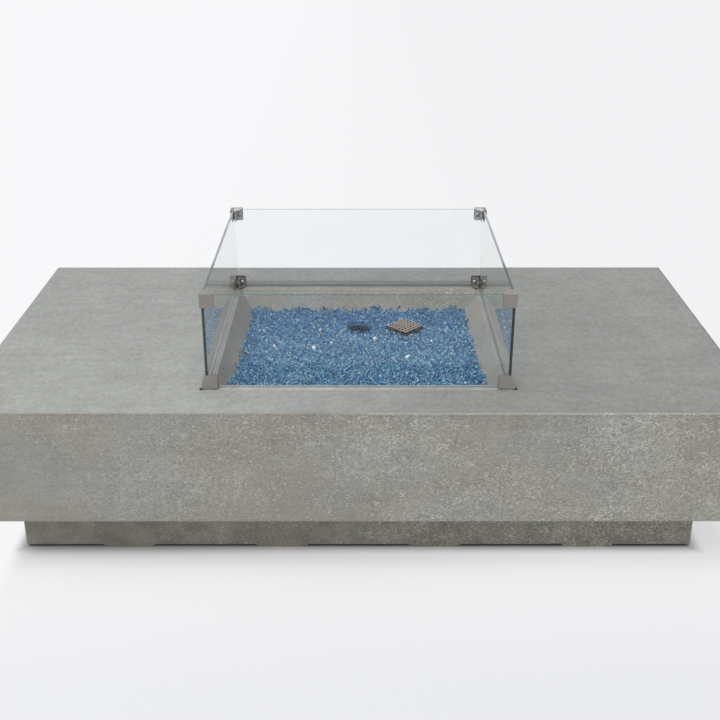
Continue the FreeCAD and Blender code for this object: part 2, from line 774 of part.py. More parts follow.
def pilot_parts():
    """The pilot burner, thermocouple and spark electrode that stand on the shelf."""
    hood_z = shelf_z + pilot_neck
    hood_top = cage_top - pilot_headroom
    flange_radius = pilot_burner_radius + pilot_hood_sheet
    body = rod(pilot + V(0, 0, pilot_base_z), Z_AXIS, pilot_burner_radius, hood_z - pilot_base_z)
    flange = rod(pilot + V(0, 0, shelf_z), Z_AXIS, flange_radius + 1, pilot_flange)
    hood = rod(pilot + V(0, 0, hood_z), Z_AXIS, flange_radius, hood_top - hood_z)
    hollow = rod(pilot + V(0, 0, hood_z + pilot_hood_sheet), Z_AXIS, pilot_burner_radius,
                 hood_top - hood_z - 2 * pilot_hood_sheet)
    slot_half = pilot_burner_radius * 0.7
    slot = block(pilot_x - slot_half, pilot_x + slot_half, pilot_y - 2 * pilot_burner_radius, pilot_y,
                 hood_z + 2 * pilot_hood_sheet, hood_top - 2 * pilot_hood_sheet)
    gas_way = rod(pilot + V(0, 0, pilot_base_z - 1), Z_AXIS, pilot_gas_bore,
                  hood_z - pilot_base_z + 2 + pilot_hood_sheet)
    save("pilot_burner", fuse([body, flange, hood]).cut([hollow, slot, gas_way]))

    probe = pilot + V(pilot_pitch, 0, 0)
    save("thermocouple", fuse([
        rod(probe + V(0, 0, pilot_base_z), Z_AXIS, probe_radius, shelf_z + probe_rise - pilot_base_z),
        rod(probe + V(0, 0, shelf_z), Z_AXIS, probe_radius + pilot_flange, pilot_flange),
        rod(probe + V(0, 0, shelf_z + probe_rise), Z_AXIS, probe_radius - 1,
            hood_top - shelf_z - probe_rise - pilot_flange)]))

    spark = pilot - V(pilot_pitch, 0, 0)
    insulator = fuse([
        rod(spark + V(0, 0, pilot_base_z), Z_AXIS, insulator_radius, hood_z - pilot_base_z),
        rod(spark + V(0, 0, shelf_z), Z_AXIS, insulator_radius + pilot_flange, pilot_flange)])
    bore = rod(spark + V(0, 0, pilot_base_z - 1), Z_AXIS, electrode_radius + fit_gap,
               hood_z - pilot_base_z + 2)
    save("electrode_insulator", insulator.cut(bore))
    tip_z = hood_z + electrode_rise
    tip = [spark + V(0, 0, pilot_base_z), spark + V(0, 0, tip_z), spark + V(electrode_reach, 0, tip_z)]
    save("electrode_rod", bent_rod(tip, electrode_radius))


def fire_glass_bed():
    """The bed of crushed glass, heaped over the burner, open round the pilot and at the pit."""
    tub = rounded_block(pan_length - 2 * pan_sheet - 2 * bed_gap, pan_width - 2 * pan_sheet - 2 * bed_gap,
                        pan_corner - pan_sheet - bed_gap, pan_floor, ledge_z + pan_sheet, opening_shift)
    heap = recess_block(ledge_z + pan_sheet, bed_z, -bed_gap, opening_corner)
    bed = fuse([tub, heap])
    spaces = [rod(start - direction * bed_burner_gap, direction, burner_radius + bed_burner_gap,
                  length + 2 * bed_burner_gap) for start, direction, length in burner_runs()]
    spaces.append(rod(hub + V(0, 0, pan_floor), Z_AXIS, locknut_flats / math.sqrt(3) + bed_part_gap,
                      burner_height))
    for place in stand_places().values():
        reach = burner_radius + stand_side_gap + stand_foot + bed_part_gap
        half = stand_width / 2 + bed_part_gap
        spaces.append(block(-reach, reach, place.y - half, place.y + half, pan_floor, burner_z))
    pocket = shelf_size + 2 * bed_pocket_gap
    spaces.append(at_pilot(block(-pocket / 2, pocket / 2, -pocket / 2, pocket / 2, pan_floor, bed_z + 1)))
    spaces.append(Part.makeCone(pit_bottom_radius, pit_top_radius, bed_z - burner_z,
                                V(pit_x, pit_y, burner_z), Z_AXIS))
    save("fire_glass_bed", bed.cut(spaces))


def control_panel():
    """The steel panel behind the niche, with its screws."""
    panel = niche_block(wall_inside_x, panel_back_x, panel_margin)
    holes = [rod(V(wall_inside_x - 1, knob_y, niche_z), X_AXIS, neck_radius + neck_hole_gap, 5),
             rod(V(wall_inside_x - 1, igniter_y, niche_z), X_AXIS, igniter_neck_radius + neck_hole_gap, 5)]
    holes += [rod(place - V(1, 0, 0), X_AXIS, panel_screw_radius + fit_gap, 5)
              for place in panel_screw_places()]
    save("control_panel", panel.cut(holes))
    screws = [dome_screw(place - V(panel_screw_depth, 0, 0), X_AXIS, panel_screw_radius,
                         panel_screw_depth + panel_sheet) for place in panel_screw_places()]
    save("panel_screws", *screws)


def flatted_shaft(radius, flat, x0, x1):
    """A shaft along X at the knob's axis with one flat on its upper side."""
    shaft = rod(V(x0, knob_y, niche_z), X_AXIS, radius, x1 - x0)
    return shaft.cut(block(x0 - 1, x1 + 1, knob_y - radius, knob_y + radius, niche_z + flat, niche_z + radius + 1))


def valve_ports():
    """Places of the openings in the back of the valve body."""
    low = niche_z - valve_height / 5
    high = niche_z + valve_height / 3
    return {"outlet": V(valve_back_x, knob_y - valve_width / 4, low),
            "inlet": V(valve_back_x, knob_y + valve_width / 3.4, low),
            "pilot": V(valve_back_x, knob_y + valve_width / 7, high),
            "probe": V(valve_back_x, knob_y - valve_width / 5, high)}


def gas_valve():
    """The safety valve with its neck, neck nut, return spring, spring cup and stem."""
    body = block(panel_back_x, valve_back_x, knob_y - valve_width / 2, knob_y + valve_width / 2,
                 niche_z - valve_height / 2, niche_z + valve_height / 2)
    body = body.makeChamfer(valve_edge, body.Edges)
    neck_front = wall_inside_x - neck_proud
    neck = rod(V(neck_front, knob_y, niche_z), X_AXIS, neck_radius, panel_back_x + 4 - neck_front)
    stubs, ways = [], []
    for port, radius, bore, depth in (
            ("outlet", feed_radius, feed_radius - tube_wall, valve_length / 2),
            ("inlet", hose_radius, hose_radius - tube_wall, valve_length / 2),
            ("pilot", pilot_tube_radius, pilot_tube_radius - tube_wall, port_depth),
            ("probe", probe_lead_radius + tube_wall, probe_lead_radius + fit_gap, port_depth)):
        place = valve_ports()[port]
        stubs.append(rod(place, X_AXIS, radius, nut_overlap))
        ways.append(rod(place - V(depth, 0, 0), X_AXIS, bore, depth + nut_overlap + 1))
    chamber_x = panel_back_x + chamber_start
    chamber = rod(V(chamber_x, knob_y, niche_z), X_AXIS, valve_bore, chamber_length)
    stem_way = rod(V(neck_front - 1, knob_y, niche_z), X_AXIS, stem_radius + stem_gap,
                   chamber_x - neck_front + 2)
    save("valve_body", fuse([body, neck] + stubs).cut([chamber, stem_way] + ways))
    save("valve_neck_nut", nut(V(wall_inside_x - neck_nut_thickness, knob_y, niche_z), X_AXIS,
                               neck_nut_flats, neck_nut_thickness, neck_radius + fit_gap))

    collar_x = chamber_x + collar_gap
    flat_end = neck_front - bolt_gap
    stem_front = wall_inside_x - knob_standoff - stem_in_knob
    save("valve_stem", fuse([
        flatted_shaft(stem_radius, stem_flat, stem_front, flat_end),
        rod(V(flat_end, knob_y, niche_z), X_AXIS, stem_radius, collar_x + stem_tail - flat_end),
        rod(V(collar_x, knob_y, niche_z), X_AXIS, collar_radius, collar_thickness)]))
    cup_x = collar_x + collar_thickness + fit_gap
    save("valve_spring_cup", ring(V(cup_x, knob_y, niche_z), X_AXIS, cup_radius, stem_radius + fit_gap,
                                  cup_thickness))
    spring_x = cup_x + cup_thickness
    save("valve_spring", coil(V(spring_x, knob_y, niche_z), X_AXIS, valve_spring_radius,
                              chamber_x + chamber_length - spring_x))


def control_knob():
    """The knob: a hollow-backed disc with a grip bar, on the flatted end of the stem."""
    back_x = wall_inside_x - knob_standoff
    front_x = back_x - knob_height
    disc_front = back_x - knob_disc_height
    wide = knob_radius + 1
    whole = rod(V(front_x, knob_y, niche_z), X_AXIS, knob_radius, knob_height)
    front_edge = [edge for edge in whole.Edges if edge.BoundBox.XMax < front_x + 0.1]
    whole = whole.makeFillet(knob_edge, front_edge)
    cheeks = [block(front_x - 1, disc_front, y, y + wide, niche_z - wide, niche_z + wide)
              for y in (knob_y + knob_grip_width / 2, knob_y - knob_grip_width / 2 - wide)]
    hollow = rod(V(back_x - knob_hollow, knob_y, niche_z), X_AXIS, knob_radius - knob_rim, knob_hollow + 1)
    socket = flatted_shaft(stem_radius + fit_gap / 2, stem_flat + fit_gap / 2,
                           back_x - stem_in_knob - fit_gap, back_x + 1)
    pointer = block(front_x - 1, front_x + 1, knob_y - pointer_width / 2, knob_y + pointer_width / 2,
                    niche_z + pointer_start, niche_z + knob_radius)
    save("control_knob", whole.cut(cheeks + [hollow, socket, pointer]))


def igniter():
    """The igniter behind the panel: body, bezel, battery, spring and push button."""
    axis = V(0, igniter_y, niche_z)
    neck_front = wall_inside_x - igniter_neck_proud
    body = fuse([
        rod(axis + V(panel_back_x, 0, 0), X_AXIS, igniter_radius + igniter_flange, igniter_length),
        rod(axis + V(neck_front, 0, 0), X_AXIS, igniter_neck_radius, panel_back_x + 1 - neck_front),
        rod(axis + V(igniter_back_x, 0, 0), X_AXIS, spark_lead_radius + 1, nut_overlap)])
    battery_back = igniter_back_x - igniter_end_wall
    bore = rod(axis + V(neck_front - 1, 0, 0), X_AXIS, igniter_bore, battery_back - neck_front + 1)
    save("igniter_body", body.cut(bore))
    save("igniter_bezel", ring(axis + V(neck_front - bezel_lip, 0, 0), X_AXIS, bezel_radius,
                               igniter_neck_radius + fit_gap, igniter_neck_proud + bezel_lip))
    battery_front = battery_back - battery_length
    battery = rod(axis + V(battery_front, 0, 0), X_AXIS, battery_radius, battery_length)
    nub = rod(axis + V(battery_front - battery_nub_length, 0, 0), X_AXIS, battery_nub_radius,
              battery_nub_length)
    save("igniter_battery", battery.fuse(nub))
    button_front = neck_front - button_proud
    button_back = neck_front + button_skirt
    button = rod(axis + V(button_front, 0, 0), X_AXIS, button_radius, button_back - button_front)
    front_edge = [edge for edge in button.Edges if edge.BoundBox.XMax < button_front + 0.1]
    save("igniter_button", button.makeFillet(button_edge, front_edge))
    save("igniter_spring", coil(axis + V(button_back, 0, 0), X_AXIS, button_spring_radius,
                                battery_front - button_back))


def gas_inlet():
    """The bulkhead fitting through the plinth's back wall, with its locknut inside."""
    outside_y = plinth_depth / 2
    inside_y = outside_y - plinth_wall
    thread_y = inside_y - inlet_thread_length
    middle = V(inlet_x, 0, inlet_z)
    fitting = fuse([
        rod(middle + V(0, thread_y, 0), Y_AXIS, inlet_body_radius, outside_y - thread_y),
        hexagon(middle + V(0, outside_y, 0), Y_AXIS, inlet_flats, inlet_hex_thickness),
        rod(middle + V(0, outside_y + inlet_hex_thickness, 0), Y_AXIS, flare_radius, flare_length),
        rod(middle + V(0, thread_y - nut_overlap, 0), Y_AXIS, hose_radius, nut_overlap)])
    bore = rod(middle + V(0, thread_y - nut_overlap - 1, 0), Y_AXIS, flare_bore,
               outside_y - thread_y + nut_overlap + inlet_hex_thickness + flare_length + 2)
    save("inlet_fitting", fitting.cut(bore))
    save("inlet_locknut", nut(middle + V(0, inside_y - inlet_nut_thickness, 0), Y_AXIS,
                              inlet_flats, inlet_nut_thickness, inlet_body_radius + fit_gap))


def coupling(joint, direction, radius):
    """A flare nut over the butt joint of a tube and its stub."""
    return nut(joint - direction * nut_overlap, direction, 2.5 * radius + 5, 2 * nut_overlap - 1,
               radius + fit_gap)


def gas_lines():
    """The supply hose, feed pipe and pilot tube, with the nuts at their ends."""
    ports = valve_ports()
    ahead = V(nut_overlap, 0, 0)
    inlet_end = V(inlet_x, plinth_depth / 2 - plinth_wall - inlet_thread_length - nut_overlap, inlet_z)
    valve_inlet = ports["inlet"] + ahead
    hose = [inlet_end, inlet_end - V(0, 70, 0),
            V(inlet_x - 20, 110, inlet_z + 20),
            V(inlet_x - 45, 20, gas_line_z - 20),
            V(inlet_x - 110, valve_inlet.y, valve_inlet.z),
            valve_inlet]
    save("supply_hose", bent_tube(hose, hose_radius, tube_wall))

    elbow_in = V(-elbow_size / 2 - nut_overlap, opening_shift, mixer_bottom - elbow_size / 2)
    valve_outlet = ports["outlet"] + ahead
    feed = [valve_outlet, valve_outlet + V(line_start, 0, 0),
            V(feed_turn_x, opening_shift, elbow_in.z), elbow_in]
    save("feed_pipe", bent_tube(feed, feed_radius, tube_wall))

    pilot_out = ports["pilot"] + ahead
    pilot_in = pilot + V(0, 0, pilot_base_z)
    line_z = gas_line_z + pilot_line_rise
    pilot_run = [pilot_out, pilot_out + V(line_start, 0, 0),
                 V(lead_turn_x, pilot_out.y + 30, line_z),
                 V(pilot_x - 110, pilot_y, line_z),
                 V(pilot_x, pilot_y, line_z),
                 pilot_in]
    save("pilot_tube", bent_tube(pilot_run, pilot_tube_radius, tube_wall))
    save("gas_line_nuts",
         coupling(inlet_end, -Y_AXIS, hose_radius), coupling(valve_inlet, X_AXIS, hose_radius),
         coupling(elbow_in, -X_AXIS, feed_radius), coupling(valve_outlet, X_AXIS, feed_radius),
         coupling(pilot_out, X_AXIS, pilot_tube_radius))


def pilot_leads():
    """The thermocouple lead and the ignition lead, from the panel to the pilot."""
    probe_out = valve_ports()["probe"] + V(nut_overlap, 0, 0)
    probe_in = pilot + V(pilot_pitch, 0, pilot_base_z)
    low = gas_line_z + probe_line_rise
    probe_run = [probe_out, probe_out + V(line_start, 0, 0),
                 V(lead_turn_x, probe_out.y + 14, low),
                 V(probe_in.x - 120, probe_in.y - 30, low),
                 V(probe_in.x, probe_in.y, low),
                 probe_in]
    save("thermocouple_lead", bent_rod(probe_run, probe_lead_radius))
    spark_out = V(igniter_back_x + nut_overlap, igniter_y, niche_z)
    spark_in = pilot + V(-pilot_pitch, 0, pilot_base_z)
    high = gas_line_z + spark_line_rise
    spark_run = [spark_out, spark_out + V(line_start, 0, 0),
                 V(lead_turn_x, igniter_y + 30, high),
                 V(spark_in.x - 90, spark_in.y + 14, high),
                 V(spark_in.x, spark_in.y, high),
                 spark_in]
    save("ignition_lead", bent_rod(spark_run, spark_lead_radius))


def guard_glass():
    """Four glass panels; the side panels run the full depth, the others fit between them."""
    back_y = guard_shift + guard_half_depth
    front_y = guard_shift - guard_half_depth
    side_inside = guard_half_length - glass_thickness
    between = side_inside - glass_joint
    panels = {
        "guard_glass_left": (-guard_half_length, -side_inside, front_y, back_y),
        "guard_glass_right": (side_inside, guard_half_length, front_y, back_y),
        "guard_glass_front": (-between, between, front_y, front_y + glass_thickness),
        "guard_glass_back": (-between, between, back_y - glass_thickness, back_y)}
    for name, (x0, x1, y0, y1) in panels.items():
        pane = block(x0, x1, y0, y1, glass_bottom, guard_top)
        save(name, pane.makeChamfer(glass_edge, pane.Edges))


def l_outline(near, far, reach):
    """An L of two legs: from near to far off the glass corner, and out to reach."""
    return [(reach, near), (near, near), (near, reach), (far, reach), (far, far), (reach, far)]


def inner_legs(z0, z1):
    """The inner angle of a bracket, with its screw holes."""
    reach = inner_start + inner_leg
    legs = polygon_prism(l_outline(inner_start, inner_end, reach), z0, z1)
    middle = (z0 + z1) / 2
    along = (inner_end + reach) / 2
    holes = [rod(V(along, inner_start - 1, middle), Y_AXIS, guard_screw_radius + fit_gap, bracket_sheet + 2),
             rod(V(inner_start - 1, along, middle), X_AXIS, guard_screw_radius + fit_gap, bracket_sheet + 2)]
    return legs.cut(holes)


def plate_outline(near):
    """The flat web that joins outer and inner legs, its inner corner cut off."""
    return [(near, near), (bracket_reach, near), (bracket_reach, inner_end),
            (inner_end, bracket_reach), (near, bracket_reach)]


def upper_bracket():
    """An upper corner bracket about the outer glass corner at the origin."""
    outer = polygon_prism(l_outline(near_outer, -liner_thickness, bracket_reach), upper_low_z, upper_high_z)
    cap = polygon_prism(plate_outline(near_outer), upper_high_z, upper_high_z + bracket_sheet)
    return fuse([outer, cap, inner_legs(upper_low_z, upper_high_z)])


def lower_bracket():
    """A lower corner bracket, its outer legs flared towards the table top."""
    outlines = []
    for near, z in ((flared_outer, floor_plate_z), (near_outer, lower_top_z)):
        corners = [V(x, y, z) for x, y in l_outline(near, near + bracket_sheet, bracket_reach)]
        outlines.append(Part.makePolygon(corners + corners[:1]))
    outer = Part.makeLoft(outlines, True, True)
    plate = polygon_prism(plate_outline(flared_outer), floor_plate_z, floor_plate_z + bracket_floor)
    return fuse([outer, plate, inner_legs(floor_plate_z, lower_top_z - inner_drop)])


def bracket_small_parts(z0, z1):
    """Screws and clamp pads of a bracket between two heights, about the glass corner at the origin."""
    middle = (z0 + z1) / 2
    along = (inner_end + inner_start + inner_leg) / 2
    shank = inner_gap - pad_thickness + bracket_sheet
    screws, pads = [], []
    for direction, place in ((Y_AXIS, V(along, glass_thickness, middle)),
                             (X_AXIS, V(glass_thickness, along, middle))):
        pads.append(rod(place, direction, pad_radius, pad_thickness))
        screws.append(dome_screw(place + direction * pad_thickness, direction, guard_screw_radius, shank))
    return screws, pads


def bracket_liners():
    """Rubber between metal and glass: behind the outer legs, and under the panel edges."""
    behind = l_outline(-liner_thickness, 0, bracket_reach)
    under = l_outline(0, glass_thickness, bracket_reach)
    upper = [polygon_prism(behind, upper_low_z, guard_top)]
    lower = [polygon_prism(behind, lower_top_z - liner_height, lower_top_z),
             polygon_prism(under, floor_plate_z + bracket_floor, glass_bottom)]
    return upper, lower


def bracket_feet(bracket):
    """Rubber feet under a lower bracket: one that wraps its corner and two plain ones."""
    inset = flared_outer + foot_radius - foot_wrap
    outside = flared_outer - foot_wrap
    corner = fuse([rod(V(inset, inset, table_height), Z_AXIS, foot_radius, foot_height),
                   rod(V(outside, outside, table_height), Z_AXIS, bumper_radius, bumper_height)])
    far = bracket_reach - foot_radius - 1
    plain = [rod(V(far, inset, table_height), Z_AXIS, foot_radius, foot_height),
             rod(V(inset, far, table_height), Z_AXIS, foot_radius, foot_height)]
    return [corner.cut(bracket)] + plain


def at_corner(shape, side_x, side_y):
    """Moves a shape made about the glass corner to one corner of the guard."""
    copy = shape.copy()
    copy.translate(V(-guard_half_length, -guard_half_depth, 0))
    if side_x > 0:
        copy = copy.mirror(V(0, 0, 0), X_AXIS)
    if side_y > 0:
        copy = copy.mirror(V(0, 0, 0), Y_AXIS)
    copy.translate(V(0, guard_shift, 0))
    return copy


def guard_hardware():
    """Eight corner brackets with their screws, pads, liners and feet."""
    upper = upper_bracket()
    lower = lower_bracket()
    upper_liners, lower_liners = bracket_liners()
    levels = {"upper": (upper, *bracket_small_parts(upper_low_z, upper_high_z), upper_liners, []),
              "lower": (lower, *bracket_small_parts(floor_plate_z, lower_top_z - inner_drop), lower_liners,
                        bracket_feet(lower))}
    groups = {"guard_screws": [], "guard_pads": [], "guard_liners": [], "guard_feet": []}
    for level, (bracket, *small_parts) in levels.items():
        for side_y, end in ((-1, "front"), (1, "back")):
            for side_x, hand in ((-1, "left"), (1, "right")):
                save("guard_bracket_" + level + "_" + end + "_" + hand, at_corner(bracket, side_x, side_y))
                for group, shapes in zip(groups.values(), small_parts):
                    group += [at_corner(shape, side_x, side_y) for shape in shapes]
    for name, shapes in groups.items():
        save(name, *shapes)


os.makedirs("parts", exist_ok=True)
table_shell()
base_plinth()
plinth_fixings()
burner_pan()
burner_tube()
burner_stands()
air_mixer()
orifice_elbow()
pilot_cage()
pilot_bracket()
pilot_parts()
fire_glass_bed()
control_panel()
gas_valve()
control_knob()
igniter()
gas_inlet()
gas_lines()
pilot_leads()
guard_glass()
guard_hardware()
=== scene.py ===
import json
import math
import bmesh
import bpy
import numpy as np
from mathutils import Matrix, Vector


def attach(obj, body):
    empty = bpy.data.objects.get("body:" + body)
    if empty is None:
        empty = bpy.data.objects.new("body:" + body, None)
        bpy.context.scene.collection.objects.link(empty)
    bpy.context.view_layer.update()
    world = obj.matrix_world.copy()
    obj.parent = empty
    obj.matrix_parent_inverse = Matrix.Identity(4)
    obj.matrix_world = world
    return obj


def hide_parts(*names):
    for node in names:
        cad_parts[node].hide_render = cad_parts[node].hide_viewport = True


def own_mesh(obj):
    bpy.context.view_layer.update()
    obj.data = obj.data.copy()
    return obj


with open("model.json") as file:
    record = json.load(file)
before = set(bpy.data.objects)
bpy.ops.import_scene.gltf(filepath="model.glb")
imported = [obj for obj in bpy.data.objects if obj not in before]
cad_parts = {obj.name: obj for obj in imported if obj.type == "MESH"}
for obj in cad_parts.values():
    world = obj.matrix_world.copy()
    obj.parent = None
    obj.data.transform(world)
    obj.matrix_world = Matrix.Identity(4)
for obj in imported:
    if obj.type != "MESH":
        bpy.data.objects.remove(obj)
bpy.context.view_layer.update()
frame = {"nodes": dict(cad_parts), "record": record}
nodes = frame["nodes"]
scene = bpy.context.scene

# Places and lengths repeated from the part's source, in metres
TABLE_HALF_X = 0.762
TABLE_HALF_Y = 0.4065
TABLE_TOP = 0.349
SHELL_BOTTOM = 0.112
PLINTH_HALF_X = 0.680
PLINTH_HALF_Y = 0.3245
OPENING_HALF_X = 0.285
OPENING_HALF_Y = 0.272
OPENING_Y = -0.015
BED_Z = 0.305
PIT = (0.0, 0.118)
PIT_TOP_RADIUS = 0.028
PIT_BOTTOM_RADIUS = 0.013
PIT_BOTTOM_Z = 0.2565
PILOT = (0.106, 0.095)
CAGE_HALF = 0.029
CAGE_TOP = 0.319
PANE_INSIDE_X = 0.291
PANE_INSIDE_Y = 0.267
KNOB_Y = -0.045
KNOB_Z = 0.232
KNOB_GROOVE_X = -0.759

# How far the recess's walls lean in for each metre down, and the turn of the pilot and its cage
SLOPE = 40 / 60
PILOT_TURN = math.radians(45)

# Strips of the table's top along the guard's foot, from and to, in metres: painted shade at the left, right
# and back, painted light at the front
FOOT_LEFT = (-0.3010, -0.2945)
FOOT_RIGHT = (0.2880, 0.2985)
FOOT_BACK = (0.2600, 0.2790)
FOOT_FRONT = (-0.3080, -0.2930)


def paint(red, green, blue):
    """A colour as it looks on a screen, 0 to 255, turned into the shader's linear values."""
    linear = [(v / 255 / 12.92) if v / 255 <= 0.04045 else ((v / 255 + 0.055) / 1.055) ** 2.4
              for v in (red, green, blue)]
    return (*linear, 1.0)


class Nodes:
    """Short ways to add and link the shader nodes of one tree."""

    def __init__(self, tree):
        self.tree = tree
        tree.nodes.clear()

    def node(self, kind, inputs=None, **settings):
        made = self.tree.nodes.new(kind)
        for key, value in settings.items():
            setattr(made, key, value)
        for key, value in (inputs or {}).items():
            self.feed(made.inputs[key], value)
        return made

    def feed(self, socket, value):
        if isinstance(value, bpy.types.NodeSocket):
            self.tree.links.new(value, socket)
        else:
            socket.default_value = value

    def math(self, operation, first, second=0.5, clamp=False):
        made = self.node("ShaderNodeMath", {0: first, 1: second}, operation=operation, use_clamp=clamp)
        return made.outputs[0]

    def times(self, first, *others):
        for other in others:
            first = self.math("MULTIPLY", first, other)
        return first

    def plus(self, first, *others):
        for other in others:
            first = self.math("ADD", first, other)
        return first

    def minus(self, first, second):
        return self.math("SUBTRACT", first, second)

    def rest(self, value):
        """What a value leaves of 1."""
        return self.math("SUBTRACT", 1.0, value)

    def absolute(self, value):
        return self.math("ABSOLUTE", value)

    def largest(self, first, second):
        return self.math("MAXIMUM", first, second)

    def total(self, start, terms):
        """A start and the sum of values, each times its share."""
        for value, share in terms:
            start = self.plus(start, self.times(value, share))
        return start

    def shades(self, terms):
        """A brightness about 1: each term is a noise and how far it swings the brightness."""
        return self.total(1.0, [(self.minus(noise, 0.5), swing) for noise, swing in terms])

    def band(self, value, low, high, smooth=True):
        """0 under low, 1 over high; the other way round if low is the larger."""
        made = self.node("ShaderNodeMapRange", {0: value, 1: low, 2: high, 3: 0.0, 4: 1.0},
                         interpolation_type="SMOOTHSTEP" if smooth else "LINEAR", clamp=True)
        return made.outputs[0]

    def mix(self, factor, first, second):
        made = self.node("ShaderNodeMix", {0: factor, 6: first, 7: second},
                         data_type="RGBA", clamp_factor=True)
        return made.outputs[2]

    def scaled(self, colour, factor):
        if not isinstance(colour, bpy.types.NodeSocket):
            colour = colour[:3]
        return self.node("ShaderNodeVectorMath", {0: colour, "Scale": factor}, operation="SCALE").outputs[0]

    def ramp(self, factor, *stops):
        made = self.node("ShaderNodeValToRGB", {0: factor})
        for element, (position, colour) in zip(made.color_ramp.elements, stops):
            element.position = position
            element.color = colour
        return made.outputs[0]

    def parts(self, vector):
        made = self.node("ShaderNodeSeparateXYZ", {0: vector})
        return made.outputs[0], made.outputs[1], made.outputs[2]

    def blend(self, factor, first, second):
        """Two shaders in one: the first at 0, the second at 1."""
        return self.node("ShaderNodeMixShader", {0: factor, 1: first.outputs[0], 2: second.outputs[0]})

    def seen(self):
        """1 for rays from the camera, from a gloss or through glass."""
        path = self.node("ShaderNodeLightPath").outputs
        return self.largest(self.largest(path["Is Camera Ray"], path["Is Glossy Ray"]),
                            path["Is Transmission Ray"])


class Look(Nodes):
    """A material made of nodes, with the object's own place in x, y and z."""

    def __init__(self, name):
        self.material = bpy.data.materials.new(name)
        self.material.use_nodes = True
        super().__init__(self.material.node_tree)
        self.output = self.node("ShaderNodeOutputMaterial")
        self.place = self.node("ShaderNodeTexCoord").outputs["Object"]
        self.x, self.y, self.z = self.parts(self.place)

    def stretched(self, x, y, z):
        made = self.node("ShaderNodeVectorMath", {0: self.place, 1: (x, y, z)}, operation="MULTIPLY")
        return made.outputs[0]

    def noise(self, scale, detail=2.0, roughness=0.5, vector=None):
        made = self.node("ShaderNodeTexNoise", {"Vector": vector or self.place, "Scale": scale,
                                                "Detail": detail, "Roughness": roughness})
        return made.outputs["Fac"]

    def warped(self, scale, amount, vector):
        """Coordinates pushed about by a noise in the object's own place."""
        push = self.node("ShaderNodeTexNoise", {"Vector": self.place, "Scale": scale, "Detail": 2.0})
        centred = self.node("ShaderNodeVectorMath", {0: push.outputs["Color"], 1: (0.5, 0.5, 0.5)},
                            operation="SUBTRACT").outputs[0]
        pushed = self.scaled(centred, amount)
        return self.node("ShaderNodeVectorMath", {0: vector, 1: pushed}, operation="ADD").outputs[0]

    def strip(self, value, ends):
        """1 between two ends, with soft edges."""
        soft = 0.0015
        low, high = ends
        return self.times(self.band(value, low - soft, low + soft),
                          self.band(value, high + soft, high - soft))

    def bump(self, height, strength, distance):
        made = self.node("ShaderNodeBump", {"Height": height, "Strength": strength, "Distance": distance})
        return made.outputs[0]

    def close(self, shader):
        """Ends the material in this shader."""
        self.feed(self.output.inputs["Surface"], shader.outputs[0])
        return self.material

    def finish(self, **inputs):
        """Ends the material in a Principled shader with these sockets."""
        names = {"colour": "Base Color", "metal": "Metallic", "rough": "Roughness", "ior": "IOR",
                 "bump": "Normal", "shine": "Specular IOR Level", "depth": "Subsurface Weight",
                 "reach": "Subsurface Radius", "spread": "Subsurface Scale"}
        sockets = {names[key]: value for key, value in inputs.items()}
        return self.close(self.node("ShaderNodeBsdfPrincipled", sockets))


def cast_tone(look, level, mottle, top, side, cool):
    """The broad tones of cast concrete: clouds, streaks along the table, and a painted light over its top,
    brighter at the left.
    """
    # Painted light over the top: brighter at the left, darker at the right, and changing a little from front
    # to back
    across = look.band(look.x, -0.30, 0.35)
    fade = look.minus(1.041, look.times(across, 0.2275))
    lean = look.minus(look.times(across, 0.234), 0.1375)
    fade = look.plus(fade, look.times(look.y, lean))
    cool_patch = look.band(look.noise(5.0, 3.0, 0.55, look.stretched(0.7, 1.0, 1.3)), 0.40, 0.66)
    base = look.mix(level, look.mix(cool_patch, side, cool), look.scaled(top, fade))
    clouds = look.noise(2.6, 4.0, 0.6)
    streaks = look.noise(1.0, 4.0, 0.65, look.stretched(6.0, 60.0, 90.0))
    wide_streaks = look.noise(1.0, 3.0, 0.6, look.stretched(1.6, 16.0, 20.0))
    fine = look.noise(340.0, 3.0, 0.65)
    return look.scaled(base, look.shades([(clouds, 0.18), (mottle, 0.44), (streaks, 0.28),
                                          (wide_streaks, 0.12), (fine, 0.24)]))


def arris_highlight_and_shade(look, base, upward, level, edge):
    """The arris round the top: painted shade at the left; at the right a painted highlight between two lines
    of painted shade.
    """
    aside, away = look.absolute(look.x), look.absolute(look.y)
    outer = look.largest(look.band(aside, 0.70, 0.74), look.band(away, 0.36, 0.39))
    inward = look.largest(look.minus(aside, TABLE_HALF_X), look.minus(away, TABLE_HALF_Y))
    round_over = look.times(look.band(look.z, TABLE_TOP - 0.0048, TABLE_TOP - 0.0040),
                            look.band(upward, 0.985, 0.94), outer)
    # Where the painted highlight falls along the arris: in patches, most at the right
    arris_highlight = look.plus(look.noise(5.0, 3.0, 0.6, look.stretched(1.0, 1.0, 0.0)), look.times(look.x, 0.7))
    arris_highlight = look.band(arris_highlight, 0.42, 0.62)
    # Painted shade on the arris away from the highlight, then the painted highlight in the edge colour
    base = look.scaled(base, look.rest(look.times(round_over, look.rest(arris_highlight), 0.10)))
    base = look.mix(look.times(round_over, arris_highlight, 0.22), base, edge)
    # Lines of painted shade just above and below the arris where it is highlighted
    above = look.times(look.band(inward, -0.0085, -0.0070), level, look.band(inward, -0.0035, -0.0045))
    below = look.times(look.band(look.z, TABLE_TOP - 0.0075, TABLE_TOP - 0.0065), look.rest(level),
                       look.band(look.z, TABLE_TOP - 0.0035, TABLE_TOP - 0.0045))
    lines = look.times(look.plus(above, below), outer, arris_highlight)
    return look.scaled(base, look.rest(look.times(lines, 0.12)))


